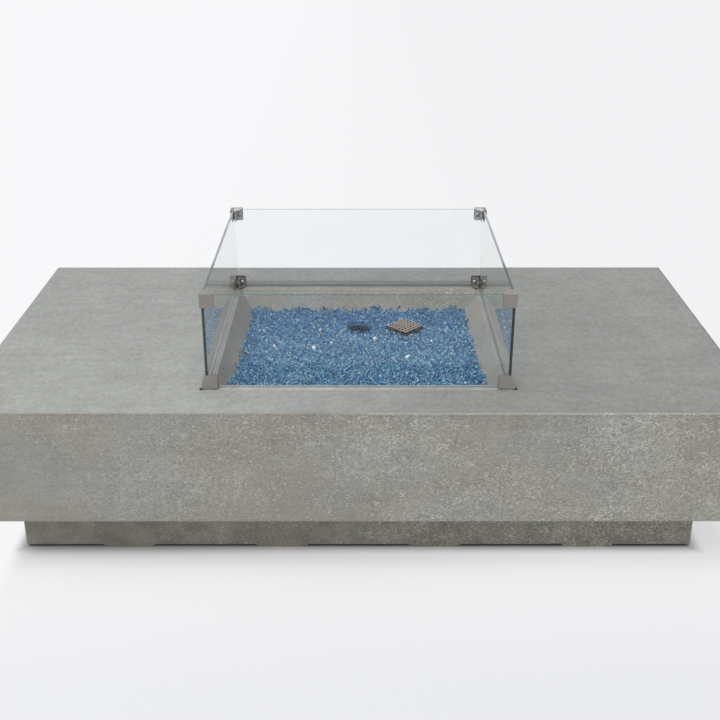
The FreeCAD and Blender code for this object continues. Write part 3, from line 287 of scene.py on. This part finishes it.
def plinth_shade_and_mottle(look):
    """Brightness of the plinth: painted shade under the shell's overhang, paler towards its foot, most at the
    right.
    """
    low = look.rest(look.math("DIVIDE", look.z, SHELL_BOTTOM))
    right = look.band(look.x, -0.45, 0.5)
    rise = look.plus(0.46, look.times(right, 0.19))
    start = look.minus(0.76, look.times(right, 0.18))
    return look.times(look.plus(start, look.times(low, rise)), look.shades([(look.noise(30.0), 0.75)]))


def shell_light_and_shade(look):
    """Brightness of the shell: painted shade in the recess, along the guard's foot, beside and behind the
    guard; painted light and shade on the recess's walls, and painted light under the front pane.
    """
    x, y, z = look.x, look.y, look.z
    aside = look.absolute(x)
    outside = look.largest(look.minus(aside, OPENING_HALF_X),
                           look.minus(look.absolute(look.minus(y, OPENING_Y)), OPENING_HALF_Y))
    recess = look.band(outside, 0.001, -0.003)
    beside = look.times(look.band(y, -0.300, -0.294), look.band(y, 0.272, 0.266))
    across_back = look.band(aside, 0.325, 0.300)
    # Painted shade in strips along the guard's foot
    foot = look.times(look.largest(look.strip(x, FOOT_LEFT), look.strip(x, FOOT_RIGHT)), beside)
    foot = look.largest(foot, look.times(look.strip(y, FOOT_BACK), across_back))
    # Painted light on a strip under the front pane
    before = look.times(look.strip(y, FOOT_FRONT), look.band(aside, 0.275, 0.265))
    # A painted shadow on the top outside the right pane
    near = look.times(look.band(aside, 0.296, 0.300), look.band(aside, 0.338, 0.322),
                      look.band(y, 0.02, 0.10), look.band(y, 0.290, 0.262))
    # A painted shadow behind the back pane, and a fainter one further back
    behind = look.times(look.band(y, 0.266, 0.272), look.band(y, 0.316, 0.300), across_back)
    beyond = look.times(look.band(y, 0.290, 0.320), look.band(aside, 0.340, 0.280))
    # Painted light and shade on the recess's walls: the back wall is paler near its top and darker low at the
    # right, the left wall darker near its top and the right wall paler
    back_wall = look.times(look.band(y, 0.225, 0.232), recess)
    pale = look.times(look.band(z, 0.331, 0.337),
                      look.minus(0.22, look.times(look.band(x, 0.08, 0.20), 0.08)))
    right_end = look.times(look.band(z, 0.337, 0.331), look.band(x, 0.04, 0.18), 0.15)
    side_wall = look.times(look.rest(look.band(y, 0.215, 0.225)), recess)
    left_side = look.minus(look.times(look.band(z, 0.318, 0.335), 0.09), 0.03)
    wall_light_and_shade = look.minus(look.times(look.band(x, -0.240, -0.250), left_side),
                           look.times(look.band(x, 0.240, 0.250), 0.115))
    # The painted shade adds up here; the negative shares are painted light
    painted_shading = look.total(0.0, [(recess, 0.13), (foot, 0.22), (near, 0.16), (behind, 0.35), (beyond, 0.08),
                            (side_wall, wall_light_and_shade), (back_wall, look.minus(right_end, pale)),
                            (before, -0.30)])
    return look.rest(painted_shading)


def concrete(name, shading, top, side, cool, fleck, edge, vigour=1.0):
    """Sealed cast concrete, mottled with pale flecks and dark pits, most on its sides."""
    look = Look(name)
    upward = look.parts(look.node("ShaderNodeNewGeometry").outputs["Normal"])[2]
    level = look.band(upward, 0.55, 0.9)
    upright = look.rest(level)
    mottle = look.noise(13.0, 5.0, 0.6)
    base = cast_tone(look, level, mottle, top, side, cool)
    # Where the surface is busy: patches, more of them towards the right
    patch = look.plus(look.noise(4.2, 4.0, 0.62, look.stretched(0.8, 1.0, 1.2)), look.times(look.x, 0.12))
    busy = look.band(patch, 0.40, 0.62)
    calm = look.minus(1.10, look.times(look.band(look.x, -0.15, -0.50), 0.50))
    # A skin of soft grains, on the sides a little longer than high
    side_skin = look.noise(1.0, 2.0, 0.6, look.warped(60.0, 0.5, look.stretched(215.0, 215.0, 300.0)))
    top_skin = look.noise(1.0, 3.0, 0.6, look.stretched(105.0, 72.0, 105.0))
    side_swing = look.times(upright, look.plus(busy, 0.9), 0.60 * vigour, calm)
    base = look.scaled(base, look.shades([(side_skin, side_swing), (top_skin, look.times(level, 0.60))]))
    # Flecks: irregular pale spots a few millimetres long
    start = look.minus(0.755, look.times(patch, 0.36))
    spots = look.noise(1.0, 2.0, 0.6, look.warped(60.0, 0.9, look.stretched(230.0, 230.0, 430.0)))
    flecks = look.band(look.minus(spots, start), -0.02, 0.07)
    strength = look.plus(0.26, look.times(look.band(look.noise(70.0), 0.40, 0.65), 0.42))
    strength = look.times(strength, look.plus(upright, 0.2), vigour, calm)
    base = look.mix(look.times(flecks, strength), base, fleck)
    # Dark pits between the grains
    hollow = look.band(look.noise(1.0, 2.0, 0.5, look.stretched(210.0, 210.0, 320.0)), 0.40, 0.31)
    hollow = look.times(hollow, look.plus(look.times(upright, 0.75), 0.25))
    base = look.mix(look.times(hollow, 0.34 * vigour), base, paint(104, 100, 92))
    # Painted highlight and shade on the arris, then this concrete's painted light and shade
    base = arris_highlight_and_shade(look, base, upward, level, edge)
    base = look.scaled(base, shading(look))
    height = look.total(0.0, [(flecks, 0.4), (side_skin, 0.6), (hollow, -0.5)])
    rough = look.plus(look.times(mottle, 0.25), 0.50)
    return look.finish(colour=base, rough=rough, shine=0.4, bump=look.bump(height, 0.4, 0.0006))


def metal(name, colour, rough, along=(1.0, 1.0, 1.0), swing=0.35, pits=0.0, tint=None, share=1.0, inside_light=None):
    """Worked metal: fine lines across the directions with large factors, and soft stains."""
    look = Look(name)
    if inside_light:
        # Painted light: a paler colour on what stands inside the guard's panes, where shade falls
        within = look.times(look.band(look.absolute(look.x), PANE_INSIDE_X + 0.0005, PANE_INSIDE_X - 0.0005),
                            look.band(look.y, PANE_INSIDE_Y + 0.0005, PANE_INSIDE_Y - 0.0005))
        colour = look.mix(within, colour, inside_light)
    lines = look.noise(1.0, 3.0, 0.6, look.stretched(*(900.0 * a for a in along)))
    stain = look.noise(38.0, 3.0, 0.6)
    base = look.scaled(colour, look.shades([(lines, swing), (stain, 0.35)]))
    if tint:
        base = look.mix(look.band(look.noise(16.0, 3.0, 0.6), 0.40, 0.62), base, tint)
    roughness = look.plus(look.times(lines, 0.18), rough - 0.09)
    height = look.plus(lines, look.times(look.noise(520.0), pits))
    return look.finish(colour=base, metal=share, rough=roughness, bump=look.bump(height, 0.25, 0.0002))


def cage_steel(name):
    """Heat-tinted steel mesh: beige on its top; down its sides a brown-purple heat tint, made much darker as
    painted shade.
    """
    look = Look(name)
    stain = look.noise(60.0, 3.0, 0.6)
    stained = look.band(stain, 0.35, 0.65)
    top = look.mix(stained, paint(188, 180, 162), paint(164, 148, 126))
    side = look.mix(stained, paint(70, 60, 60), paint(50, 42, 40))
    base = look.mix(look.band(look.z, CAGE_TOP - 0.0008, CAGE_TOP - 0.0002), side, top)
    base = look.scaled(base, look.shades([(look.noise(900.0), 0.4)]))
    return look.finish(colour=base, metal=0.25, rough=0.5, bump=look.bump(stain, 0.2, 0.0003))


def moulded(name, colour, rough, scale=700.0, strength=0.25, shine=0.45):
    """Moulded rubber, plastic or glazed ceramic: a fine even texture and slight scuffs."""
    look = Look(name)
    grain = look.noise(scale)
    scuff = look.noise(45.0, 4.0, 0.6)
    base = look.scaled(colour, look.shades([(grain, 0.25), (scuff, 0.5)]))
    roughness = look.plus(look.times(scuff, 0.2), rough - 0.1)
    return look.finish(colour=base, rough=roughness, shine=shine, bump=look.bump(grain, strength, 0.0002))


# Edge and foot colours: the dark foot is painted shade under a pane, the pale foot painted light on the front
# pane's bottom, and the far edge colour painted light on edges towards the back
CLEAR_EDGE = (0.82, 0.92, 0.91, 1)
PAINTED_LIGHT_FOOT = (0.95, 0.97, 0.97, 1)
PAINTED_SHADE_FOOT = (0.04, 0.05, 0.05, 1)
FAR_EDGE = paint(194, 204, 206)


def guard_glass(name, across, foot, front_edge, top_near, top_far):
    """Clear tempered glass with frosted green edges; lamps and soft light pass straight through it."""
    look = Look(name)
    smudge = look.noise(7.0, 4.0, 0.6)
    rough = look.times(look.band(smudge, 0.55, 0.9, smooth=False), 0.03)
    # The way each face points out of the pane, whichever side a ray meets it from
    geometry = look.node("ShaderNodeNewGeometry").outputs
    outward = look.rest(look.times(geometry["Backfacing"], 2.0))
    normal_x, normal_y, normal_z = (look.times(part, outward) for part in look.parts(geometry["True Normal"]))
    edge = look.band(look.absolute(normal_x if across == "x" else normal_y), 0.98, 0.90)
    rear = look.band(normal_y if across == "x" else look.absolute(normal_x), 0.5, 0.8)
    facing = look.times(look.band(normal_y, -0.5, -0.8), edge)
    body = (0.972, 0.974, 0.966, 1) if across == "x" else (0.985, 0.993, 1.0, 1)
    tint = look.mix(edge, body, look.mix(facing, CLEAR_EDGE, front_edge))
    # The bottom face takes the foot colour: painted shade where a pane stands on the table, painted light on
    # the front pane
    tint = look.mix(look.band(normal_z, -0.5, -0.8), tint, foot)
    tint = look.mix(rear, tint, (1.0, 1.0, 1.0, 1))
    glass = look.node("ShaderNodeBsdfGlass", {"Color": tint, "Roughness": rough, "IOR": 1.39})
    # Frosted top edges in a diffuse colour per pane, paler towards the back: painted light and shade
    along = look.band(look.y, -0.15, -0.08)
    frost = look.scaled(look.mix(along, top_near, top_far), look.shades([(smudge, 0.3)]))
    ground = look.node("ShaderNodeBsdfDiffuse", {"Color": frost})
    frosted = look.times(edge, look.band(normal_z, -0.9, -0.5))
    frosted = look.times(look.math("SUBTRACT", frosted, rear, clamp=True),
                         look.minus(0.62, look.times(facing, 0.38)))
    straight = look.node("ShaderNodeBsdfTransparent", {"Color": (0.99, 0.99, 0.99, 1)})
    pane = look.blend(rear, look.blend(frosted, glass, ground), straight)
    passed = look.mix(edge, (0.95, 0.96, 0.96, 1), (0.45, 0.50, 0.48, 1))
    clear = look.node("ShaderNodeBsdfTransparent", {"Color": passed})
    path = look.node("ShaderNodeLightPath").outputs
    return look.close(look.blend(look.largest(path["Is Shadow Ray"], path["Is Diffuse Ray"]), pane, clear))


def crushed(name, dark, light, rough, depth=0.9, shine=0.6):
    """Chips of coloured glass; the colour changes from chip to chip, and light soaks into them."""
    look = Look(name)
    base = look.ramp(look.noise(130.0, 1.0), (0.34, dark), (0.66, light))
    base = look.scaled(base, look.shades([(look.noise(420.0), 0.4)]))
    return look.finish(colour=base, rough=rough, ior=1.52, shine=shine, depth=depth, reach=(0.5, 0.8, 1.0),
                       spread=0.009, bump=look.bump(look.noise(900.0), 0.12, 0.0003))


def packed_glass(name):
    """The glass under the loose chips: deep blue, and almost black down the pit as painted shade."""
    look = Look(name)
    hue = look.noise(150.0)
    base = look.ramp(hue, (0.34, paint(32, 78, 118)), (0.66, paint(62, 116, 158)))
    across = look.node("ShaderNodeCombineXYZ", {0: look.minus(look.x, PIT[0]), 1: look.minus(look.y, PIT[1])})
    radius = look.node("ShaderNodeVectorMath", {0: across.outputs[0]}, operation="LENGTH").outputs["Value"]
    pit = look.band(radius, PIT_TOP_RADIUS + 0.004, PIT_TOP_RADIUS - 0.002)
    base = look.mix(pit, base, look.ramp(hue, (0.34, paint(0, 24, 50)), (0.66, paint(4, 50, 86))))
    shine = look.minus(0.5, look.times(pit, 0.45))
    return look.finish(colour=base, rough=0.3, ior=1.52, shine=shine, bump=look.bump(hue, 0.6, 0.002))


def knob_plastic(name):
    """Matt black plastic with a white line painted in the pointer groove."""
    look = Look(name)
    grain = look.noise(700.0)
    sideways = look.absolute(look.minus(look.y, KNOB_Y))
    line = look.times(look.band(sideways, 0.00102, 0.00098),
                      look.band(look.z, KNOB_Z + 0.0058, KNOB_Z + 0.0060),
                      look.band(look.x, KNOB_GROOVE_X + 0.0002, KNOB_GROOVE_X - 0.0002))
    black = look.scaled(paint(38, 38, 38), look.shades([(grain, 0.3), (look.noise(60.0), 0.6)]))
    base = look.mix(line, black, paint(225, 225, 220))
    return look.finish(colour=base, rough=0.42, shine=0.5, bump=look.bump(grain, 0.25, 0.0002))


EVEN = (1.0, 1.0, 1.0)
BRACKET_LINES = (1.0, 1.0, 0.05)
BRACKET_TONE = paint(146, 142, 136)

materials = {
    # Each concrete: its name, its painted light and shade, then colours for top, sides, cool patches, flecks
    # and the painted highlight on the arris, and for the plinth a vigour
    "concrete_shell": concrete("concrete_shell", shell_light_and_shade, paint(158, 160, 157), paint(155, 151, 142),
                               paint(155, 156, 150), paint(204, 203, 195), paint(206, 204, 194)),
    "concrete_plinth": concrete("concrete_plinth", plinth_shade_and_mottle, paint(150, 149, 144), paint(146, 141, 131),
                                paint(146, 145, 137), paint(196, 194, 184), paint(186, 184, 174), 1.35),
    "bracket_steel": metal("bracket_steel", BRACKET_TONE, 0.55, BRACKET_LINES, 0.34, 0.3, share=0.15),
    "screw_steel": metal("screw_steel", paint(176, 174, 170), 0.30, EVEN, 0.2),
    "black_rubber": moulded("black_rubber", paint(34, 34, 34), 0.75),
    "liner_rubber": moulded("liner_rubber", paint(122, 122, 118), 0.6),
    "pan_steel": metal("pan_steel", paint(178, 178, 176), 0.38, (0.04, 1.0, 1.0), 0.3),
    "burner_steel": metal("burner_steel", paint(120, 112, 104), 0.42, EVEN, 0.3, 0.4, paint(96, 78, 70)),
    "cage_mesh": cage_steel("cage_mesh"),
    "brass": metal("brass", paint(196, 164, 96), 0.32, EVEN, 0.2),
    "panel_steel": metal("panel_steel", paint(186, 186, 184), 0.36, (1.0, 0.03, 1.0), 0.35),
    "zinc_steel": metal("zinc_steel", paint(186, 188, 184), 0.42, EVEN, 0.3, 0.5, paint(170, 168, 150)),
    "valve_alloy": metal("valve_alloy", paint(168, 168, 166), 0.55, EVEN, 0.25, 1.5),
    "copper_lead": metal("copper_lead", paint(196, 128, 92), 0.35, EVEN, 0.2, 0.0, paint(150, 92, 70)),
    "tube_aluminium": metal("tube_aluminium", paint(200, 200, 200), 0.34, (0.05, 1.0, 1.0), 0.2),
    "black_plastic": moulded("black_plastic", paint(36, 36, 36), 0.45),
    "ceramic_white": moulded("ceramic_white", paint(226, 220, 206), 0.22, 300.0, 0.05, 0.6),
    "hose_coat": moulded("hose_coat", paint(206, 176, 62), 0.40, 500.0, 0.2),
    "lead_silicone": moulded("lead_silicone", paint(206, 203, 190), 0.55, 600.0, 0.15),
    "battery_foil": moulded("battery_foil", paint(66, 68, 74), 0.28, 300.0, 0.05, 0.6),
}
# Per pane: the axis it lies across, its foot colour, its front edge's colour, and its top edge's colour near
# the front and far back; the right and front panes' top edges are darker than the left's, as painted shade
panes = {
    "guard_glass_left": ("x", PAINTED_SHADE_FOOT, (0.42, 0.68, 0.54, 1), paint(144, 160, 157), FAR_EDGE),
    "guard_glass_right": ("x", PAINTED_SHADE_FOOT, (0.52, 0.60, 0.62, 1), paint(124, 130, 132), FAR_EDGE),
    "guard_glass_front": ("y", PAINTED_LIGHT_FOOT, CLEAR_EDGE, paint(122, 140, 138), FAR_EDGE),
    "guard_glass_back": ("y", PAINTED_SHADE_FOOT, CLEAR_EDGE, FAR_EDGE, paint(200, 210, 212)),
}


def dress(piece, material):
    """Gives a piece one material."""
    piece.data.materials.clear()
    piece.data.materials.append(material)


for part in frame["record"]["subparts"]:
    node, slot_name = part["node"], part["material_slot"]
    if node in panes:
        dress(nodes[node], guard_glass(node, *panes[node]))
    elif slot_name in materials:
        dress(nodes[node], materials[slot_name])
dress(nodes["control_knob"], knob_plastic("knob_plastic"))
# Painted shade: the pilot's bracket, screws and burner under the cage are dark steel, so the cage's holes
# look dark
pilot_shade_steel = metal("pilot_steel_painted_shade", paint(74, 66, 62), 0.6, EVEN, 0.3, 0.4, paint(48, 42, 42), share=0.4)
for node in ("pilot_bracket", "pilot_screws", "pilot_burner"):
    dress(nodes[node], pilot_shade_steel)
# The upper back brackets get painted light on the plates inside the panes
painted_light_steel = metal("bracket_steel_painted_light", BRACKET_TONE, 0.5, BRACKET_LINES, 0.34, 0.3, share=0.2,
               inside_light=paint(206, 207, 208))
for node in ("guard_bracket_upper_back_left", "guard_bracket_upper_back_right"):
    dress(nodes[node], painted_light_steel)
# The electrode's insulator is a grey-brown ceramic, darker than the white one
dress(nodes["electrode_insulator"], moulded("darkened_ceramic", paint(128, 118, 106), 0.4, 300.0, 0.05))


def coil(node):
    """A steel copy of a spring's mesh, fixed to the table; it stands for the CAD node, which is hidden."""
    spring = bpy.data.objects.new(node + "_coil", nodes[node].data.copy())
    scene.collection.objects.link(spring)
    dress(spring, materials["screw_steel"])
    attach(spring, "table")
    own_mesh(spring)
    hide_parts(node)


coil("valve_spring")
coil("igniter_spring")


# Fire glass: a dark bed under thousands of loose chips; the gaps stay free of chips
FORM_COUNT = 40
PIT_CHIP_COUNT = 90
LARGE_CHIP_COUNT = 9
BED_REACH = 0.30
BED_SINK = 0.007
CAGE_GAP = 0.0060
PIT_GAP = 0.0025
rng = np.random.default_rng(11)


def waves(count, shortest, longest):
    """Directions and phases of a smooth bumpy surface."""
    angle = rng.uniform(0, 2 * math.pi, count)
    pitch = 2 * math.pi / rng.uniform(shortest, longest, count)
    return np.cos(angle) * pitch, np.sin(angle) * pitch, rng.uniform(0, 2 * math.pi, count)


def roll(x, y, wave):
    """Height of a smooth bumpy surface, about -1 to 1."""
    along_x, along_y, phase = wave
    total = np.sin(np.outer(x, along_x) + np.outer(y, along_y) + phase).sum(1)
    return total / math.sqrt(len(phase))


surface_wave = waves(14, 0.03, 0.16)
border_wave = waves(14, 0.016, 0.10)


def chip_form():
    """One convex chip: the hull of points scattered near a squashed ball."""
    mesh = bmesh.new()
    for point in rng.normal(size=(9, 3)):
        direction = point / np.linalg.norm(point)
        mesh.verts.new(direction * rng.uniform(0.72, 1.0))
    bmesh.ops.convex_hull(mesh, input=mesh.verts)
    bmesh.ops.delete(mesh, geom=[vert for vert in mesh.verts if not vert.link_faces], context="VERTS")
    mesh.verts.index_update()
    points = np.array([v.co[:] for v in mesh.verts])
    faces = np.array([[v.index for v in face.verts] for face in mesh.faces])
    mesh.free()
    return points, faces


forms = [chip_form() for _ in range(FORM_COUNT)]


def turns(count):
    """Rotation matrices in random directions."""
    q = rng.normal(size=(count, 4))
    q /= np.linalg.norm(q, axis=1)[:, None]
    w, x, y, z = q.T
    return np.stack([1 - 2 * (y * y + z * z), 2 * (x * y - z * w), 2 * (x * z + y * w),
                     2 * (x * y + z * w), 1 - 2 * (x * x + z * z), 2 * (y * z - x * w),
                     2 * (x * z - y * w), 2 * (y * z + x * w), 1 - 2 * (x * x + y * y)], 1).reshape(-1, 3, 3)


def chips(name, places, sizes, material):
    """One mesh of chips at these places."""
    points, faces, start = [], [], 0
    matrices = turns(len(places))
    for place, size, matrix, pick in zip(places, sizes, matrices, rng.integers(0, len(forms), len(places))):
        form, sides = forms[pick]
        points.append((form * size) @ matrix.T + place)
        faces.append(sides + start)
        start += len(form)
    points, faces = np.concatenate(points), np.concatenate(faces)
    mesh = bpy.data.meshes.new(name)
    mesh.from_pydata(points.tolist(), [], faces.tolist())
    mesh.validate()
    piece = bpy.data.objects.new(name, mesh)
    scene.collection.objects.link(piece)
    mesh.materials.append(material)
    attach(piece, "table")


def beyond_edge(x, y):
    """How far outside the level part of the bed a point is; negative inside."""
    run = SLOPE * (TABLE_TOP - BED_Z)
    return np.maximum(np.abs(x) - (OPENING_HALF_X - run), np.abs(y - OPENING_Y) - (OPENING_HALF_Y - run))


def from_cage(x, y):
    """How far outside the pilot cage a point is, which stands askew; negative inside."""
    off_x, off_y = x - PILOT[0], y - PILOT[1]
    turned_x = off_x * math.cos(PILOT_TURN) + off_y * math.sin(PILOT_TURN)
    turned_y = -off_x * math.sin(PILOT_TURN) + off_y * math.cos(PILOT_TURN)
    return np.maximum(np.abs(turned_x), np.abs(turned_y)) - CAGE_HALF


def bed_points(pitch, lift, border=1.0):
    """Chip places over the bed, or in a border: off the pilot cage and the pit, and up the walls."""
    line = np.arange(-BED_REACH, BED_REACH, pitch)
    x, y = (g.ravel() for g in np.meshgrid(line, line))
    x = x + rng.uniform(-0.5, 0.5, len(x)) * pitch
    y = y + rng.uniform(-0.5, 0.5, len(y)) * pitch + OPENING_Y
    # The bed's outline is ragged, and at its sides it leans out towards the front
    beyond = beyond_edge(x, y)
    side = np.clip((np.abs(x) - np.abs(y - OPENING_Y) - 0.02) / 0.03, 0.0, 1.0)
    spread = -0.024 * (y - OPENING_Y) * side
    ragged = 0.0024 + 0.0014 * np.clip((y - 0.10) / 0.08, 0.0, 1.0)
    keep = (beyond < spread + np.clip(ragged * roll(x, y, border_wave), -0.006, 0.007)) & (beyond > -border)
    off_cage = from_cage(x, y)
    keep &= off_cage > CAGE_GAP
    radius = np.hypot(x - PIT[0], y - PIT[1])
    keep &= radius > PIT_TOP_RADIUS + PIT_GAP + 0.0015 * roll(x, y, border_wave)
    # Rolling, higher in the middle and heaped against the cage
    z = BED_Z - 0.0037 + 0.0022 * roll(x, y, surface_wave) + lift
    z = z + 0.002 * (1 - (x / 0.25) ** 2) * (1 - ((y - OPENING_Y) / 0.25) ** 2)
    z = z + 0.0065 * np.exp(-(off_cage / 0.024) ** 2)
    climb = np.maximum(0.0, beyond + 0.004) / SLOPE
    return np.stack([x, y, z + climb], 1)[keep]


def chip_sizes(count, small, large):
    """Half sizes of chips: longer than wide, wider than thick."""
    long = rng.uniform(small, large, count)
    return np.stack([long, long * rng.uniform(0.55, 0.9, count), long * rng.uniform(0.4, 0.7, count)], 1)


# Name, share of the chips, smallest and largest half size, material
groups = [
    ("fire_glass_mid", 0.42, 0.0034, 0.0060,
     crushed("chips_mid", paint(70, 130, 172), paint(102, 158, 194), 0.12)),
    ("fire_glass_deep", 0.24, 0.0034, 0.0060,
     crushed("chips_deep", paint(36, 96, 146), paint(62, 126, 174), 0.12)),
    ("fire_glass_pale", 0.21, 0.0030, 0.0052,
     crushed("chips_pale", paint(124, 176, 204), paint(160, 204, 222), 0.12)),
    ("fire_glass_violet", 0.04, 0.0034, 0.0056,
     crushed("chips_violet", paint(108, 140, 178), paint(134, 164, 194), 0.14)),
    # Clear chips, partly white as painted glints
    ("fire_glass_clear_glint", 0.09, 0.0017, 0.0034,
     crushed("chips_clear_glint", paint(174, 214, 242), paint(226, 243, 254), 0.06, depth=0.0)),
]
everywhere = np.concatenate([bed_points(0.0060, 0.0), bed_points(0.0076, 0.0026),
                             bed_points(0.0044, 0.0006, 0.005)])
bed_x, bed_y = everywhere[:, 0], everywhere[:, 1]
# More deep blue towards the rim of the bed, at its back and round the pit: painted shade at the rim and round
# the pit
rim = np.clip(1.0 + beyond_edge(bed_x, bed_y) / 0.06, 0.0, 1.0)
rim = np.maximum(rim, 1.45 * np.clip((bed_y - 0.06) / 0.10, 0.0, 1.0))
from_pit = np.hypot(bed_x - PIT[0], bed_y - PIT[1]) - PIT_TOP_RADIUS
rim = np.maximum(rim, np.clip(1.3 - from_pit / 0.016, 0.0, 1.4))
chances = np.outer(1.0 - 0.45 * rim, [group[1] for group in groups])
chances[:, 1] += 0.45 * rim
owner = (rng.random((len(everywhere), 1)) > np.cumsum(chances, 1)).sum(1)
for number, (name, _, small, large, material) in enumerate(groups):
    places = everywhere[owner == number]
    chips(name, places, chip_sizes(len(places), small, large), material)

# Dark chips down the sides of the pit as painted shade, and a few large clear ones on top, white as painted
# glints
turn = rng.uniform(0, 2 * math.pi, PIT_CHIP_COUNT)
down = 0.15 + 0.85 * rng.uniform(0, 1, PIT_CHIP_COUNT)
pit_radius = PIT_TOP_RADIUS + (PIT_BOTTOM_RADIUS - PIT_TOP_RADIUS) * down + 0.001
pit_points = np.stack([PIT[0] + pit_radius * np.cos(turn), PIT[1] + pit_radius * np.sin(turn),
                       BED_Z - 0.004 + (PIT_BOTTOM_Z - BED_Z) * down], 1)
chips("fire_glass_pit", pit_points, chip_sizes(PIT_CHIP_COUNT, 0.0028, 0.0046),
      crushed("chips_pit", paint(0, 36, 70), paint(8, 72, 118), 0.10, depth=0.0, shine=0.05))
large_points = rng.uniform((-0.22, -0.25), (0.22, 0.10), (LARGE_CHIP_COUNT, 2))
large_points = np.column_stack([large_points, np.full(LARGE_CHIP_COUNT, BED_Z + 0.0045)])
chips("fire_glass_large_glint", large_points, chip_sizes(LARGE_CHIP_COUNT, 0.0056, 0.0086),
      crushed("chips_large_glint", paint(242, 246, 249), paint(254, 254, 255), 0.08, depth=0.0))

# The dark bed itself, with its top a little lower, so that the chips cover it
bed = nodes["fire_glass_bed"]
under = bpy.data.objects.new("fire_glass_under", bed.data.copy())
scene.collection.objects.link(under)
for vertex in under.data.vertices:
    if vertex.co.z > BED_Z - 0.001:
        vertex.co.z -= BED_SINK
dress(under, packed_glass("chips_under"))
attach(under, "table")
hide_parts("fire_glass_bed")


# Stage: a pale seamless floor, a soft lamp overhead and a pale sky
FLOOR_REACH = 60.0
SKY_LOW, SKY_HIGH = 0.22, 0.70
LAMP_FROM = Vector((-0.30, -0.35, 1.0)).normalized()
LAMP_SPREAD = 50
LAMP_LIGHT = 0.45
CAMERA_AT = (0.00199, -2.19855, 1.26519)
CAMERA_DOWN = 24.2697
CAMERA_TURN = -0.0358
CAMERA_LENS = 54.254


def floor_paper(name):
    """Pale paper that glows by itself where it is seen, with painted shade under and beside the plinth, and
    painted light and shade across the floor.
    """
    look = Look(name)
    x, y = look.x, look.y
    # Painted shade across the floor: darker in a band in front of the table, and a little darker towards the
    # right
    pale = look.largest(look.band(y, -0.80, -0.42), look.band(y, -1.0, -2.4))
    paper = look.mix(pale, paint(239, 240, 243), paint(248, 248, 250))
    paper = look.scaled(paper, look.rest(look.times(look.band(x, -0.8, 0.9), 0.05)))
    outside = look.largest(look.minus(look.absolute(x), PLINTH_HALF_X),
                           look.minus(look.absolute(y), PLINTH_HALF_Y))
    # Painted shade under the plinth, and a painted shadow next to the left part of the plinth
    under_plinth = look.times(look.band(outside, 0.002, -0.006), 0.75)
    shade = look.times(look.band(outside, 0.050, 0.004), look.band(x, 0.0, -0.50),
                       look.band(x, -0.700, -0.640), 0.26)
    paper = look.scaled(paper, look.rest(look.largest(under_plinth, shade)))
    matt = look.node("ShaderNodeBsdfDiffuse", {"Color": paper})
    glow = look.node("ShaderNodeEmission", {"Color": paper})
    away = look.band(outside, -0.004, 0.030)
    # More glow at the right and beyond the plinth's left end: painted light that thins the table's shadow
    # there
    glowing = look.total(0.42, [(look.band(x, -0.1, 0.5), 0.20), (look.band(x, -0.670, -0.715), 0.52)])
    share = look.times(look.seen(), look.plus(0.03, look.times(away, glowing)))
    return look.close(look.blend(share, matt, glow))


floor_mesh = bpy.data.meshes.new("floor")
floor_mesh.from_pydata([(-FLOOR_REACH, -FLOOR_REACH, 0), (FLOOR_REACH, -FLOOR_REACH, 0),
                        (FLOOR_REACH, FLOOR_REACH, 0), (-FLOOR_REACH, FLOOR_REACH, 0)], [], [(0, 1, 2, 3)])
floor = bpy.data.objects.new("floor", floor_mesh)
scene.collection.objects.link(floor)
floor_mesh.materials.append(floor_paper("floor"))

world = bpy.data.worlds.new("studio")
scene.world = world
world.use_nodes = True
sky = Nodes(world.node_tree)
upward = sky.parts(sky.node("ShaderNodeTexCoord").outputs["Generated"])[2]
light = sky.node("ShaderNodeMapRange", {0: upward, 1: 0.0, 2: 1.0, 3: SKY_LOW, 4: SKY_HIGH}).outputs[0]
soft = sky.node("ShaderNodeBackground", {"Color": (1.0, 1.0, 1.0, 1), "Strength": light})
shown = sky.node("ShaderNodeBackground", {"Color": paint(246, 246, 248), "Strength": 1.0})
choice = sky.blend(sky.seen(), soft, shown)
sky.node("ShaderNodeOutputWorld", {"Surface": choice.outputs[0]})

lamp_data = bpy.data.lights.new("overhead", "SUN")
lamp_data.angle = math.radians(LAMP_SPREAD)
lamp_data.energy = LAMP_LIGHT * math.pi / LAMP_FROM.z
lamp = bpy.data.objects.new("overhead", lamp_data)
lamp.rotation_euler = LAMP_FROM.to_track_quat("Z", "Y").to_euler()
scene.collection.objects.link(lamp)

camera_data = bpy.data.cameras.new("camera")
camera_data.sensor_width = 36.0
camera_data.lens = CAMERA_LENS
camera_data.clip_start, camera_data.clip_end = 0.05, 200.0
camera = bpy.data.objects.new("camera", camera_data)
camera.location = CAMERA_AT
camera.rotation_euler = (math.radians(90 - CAMERA_DOWN), 0.0, math.radians(CAMERA_TURN))
scene.collection.objects.link(camera)
scene.camera = camera

scene.view_settings.view_transform = "Standard"
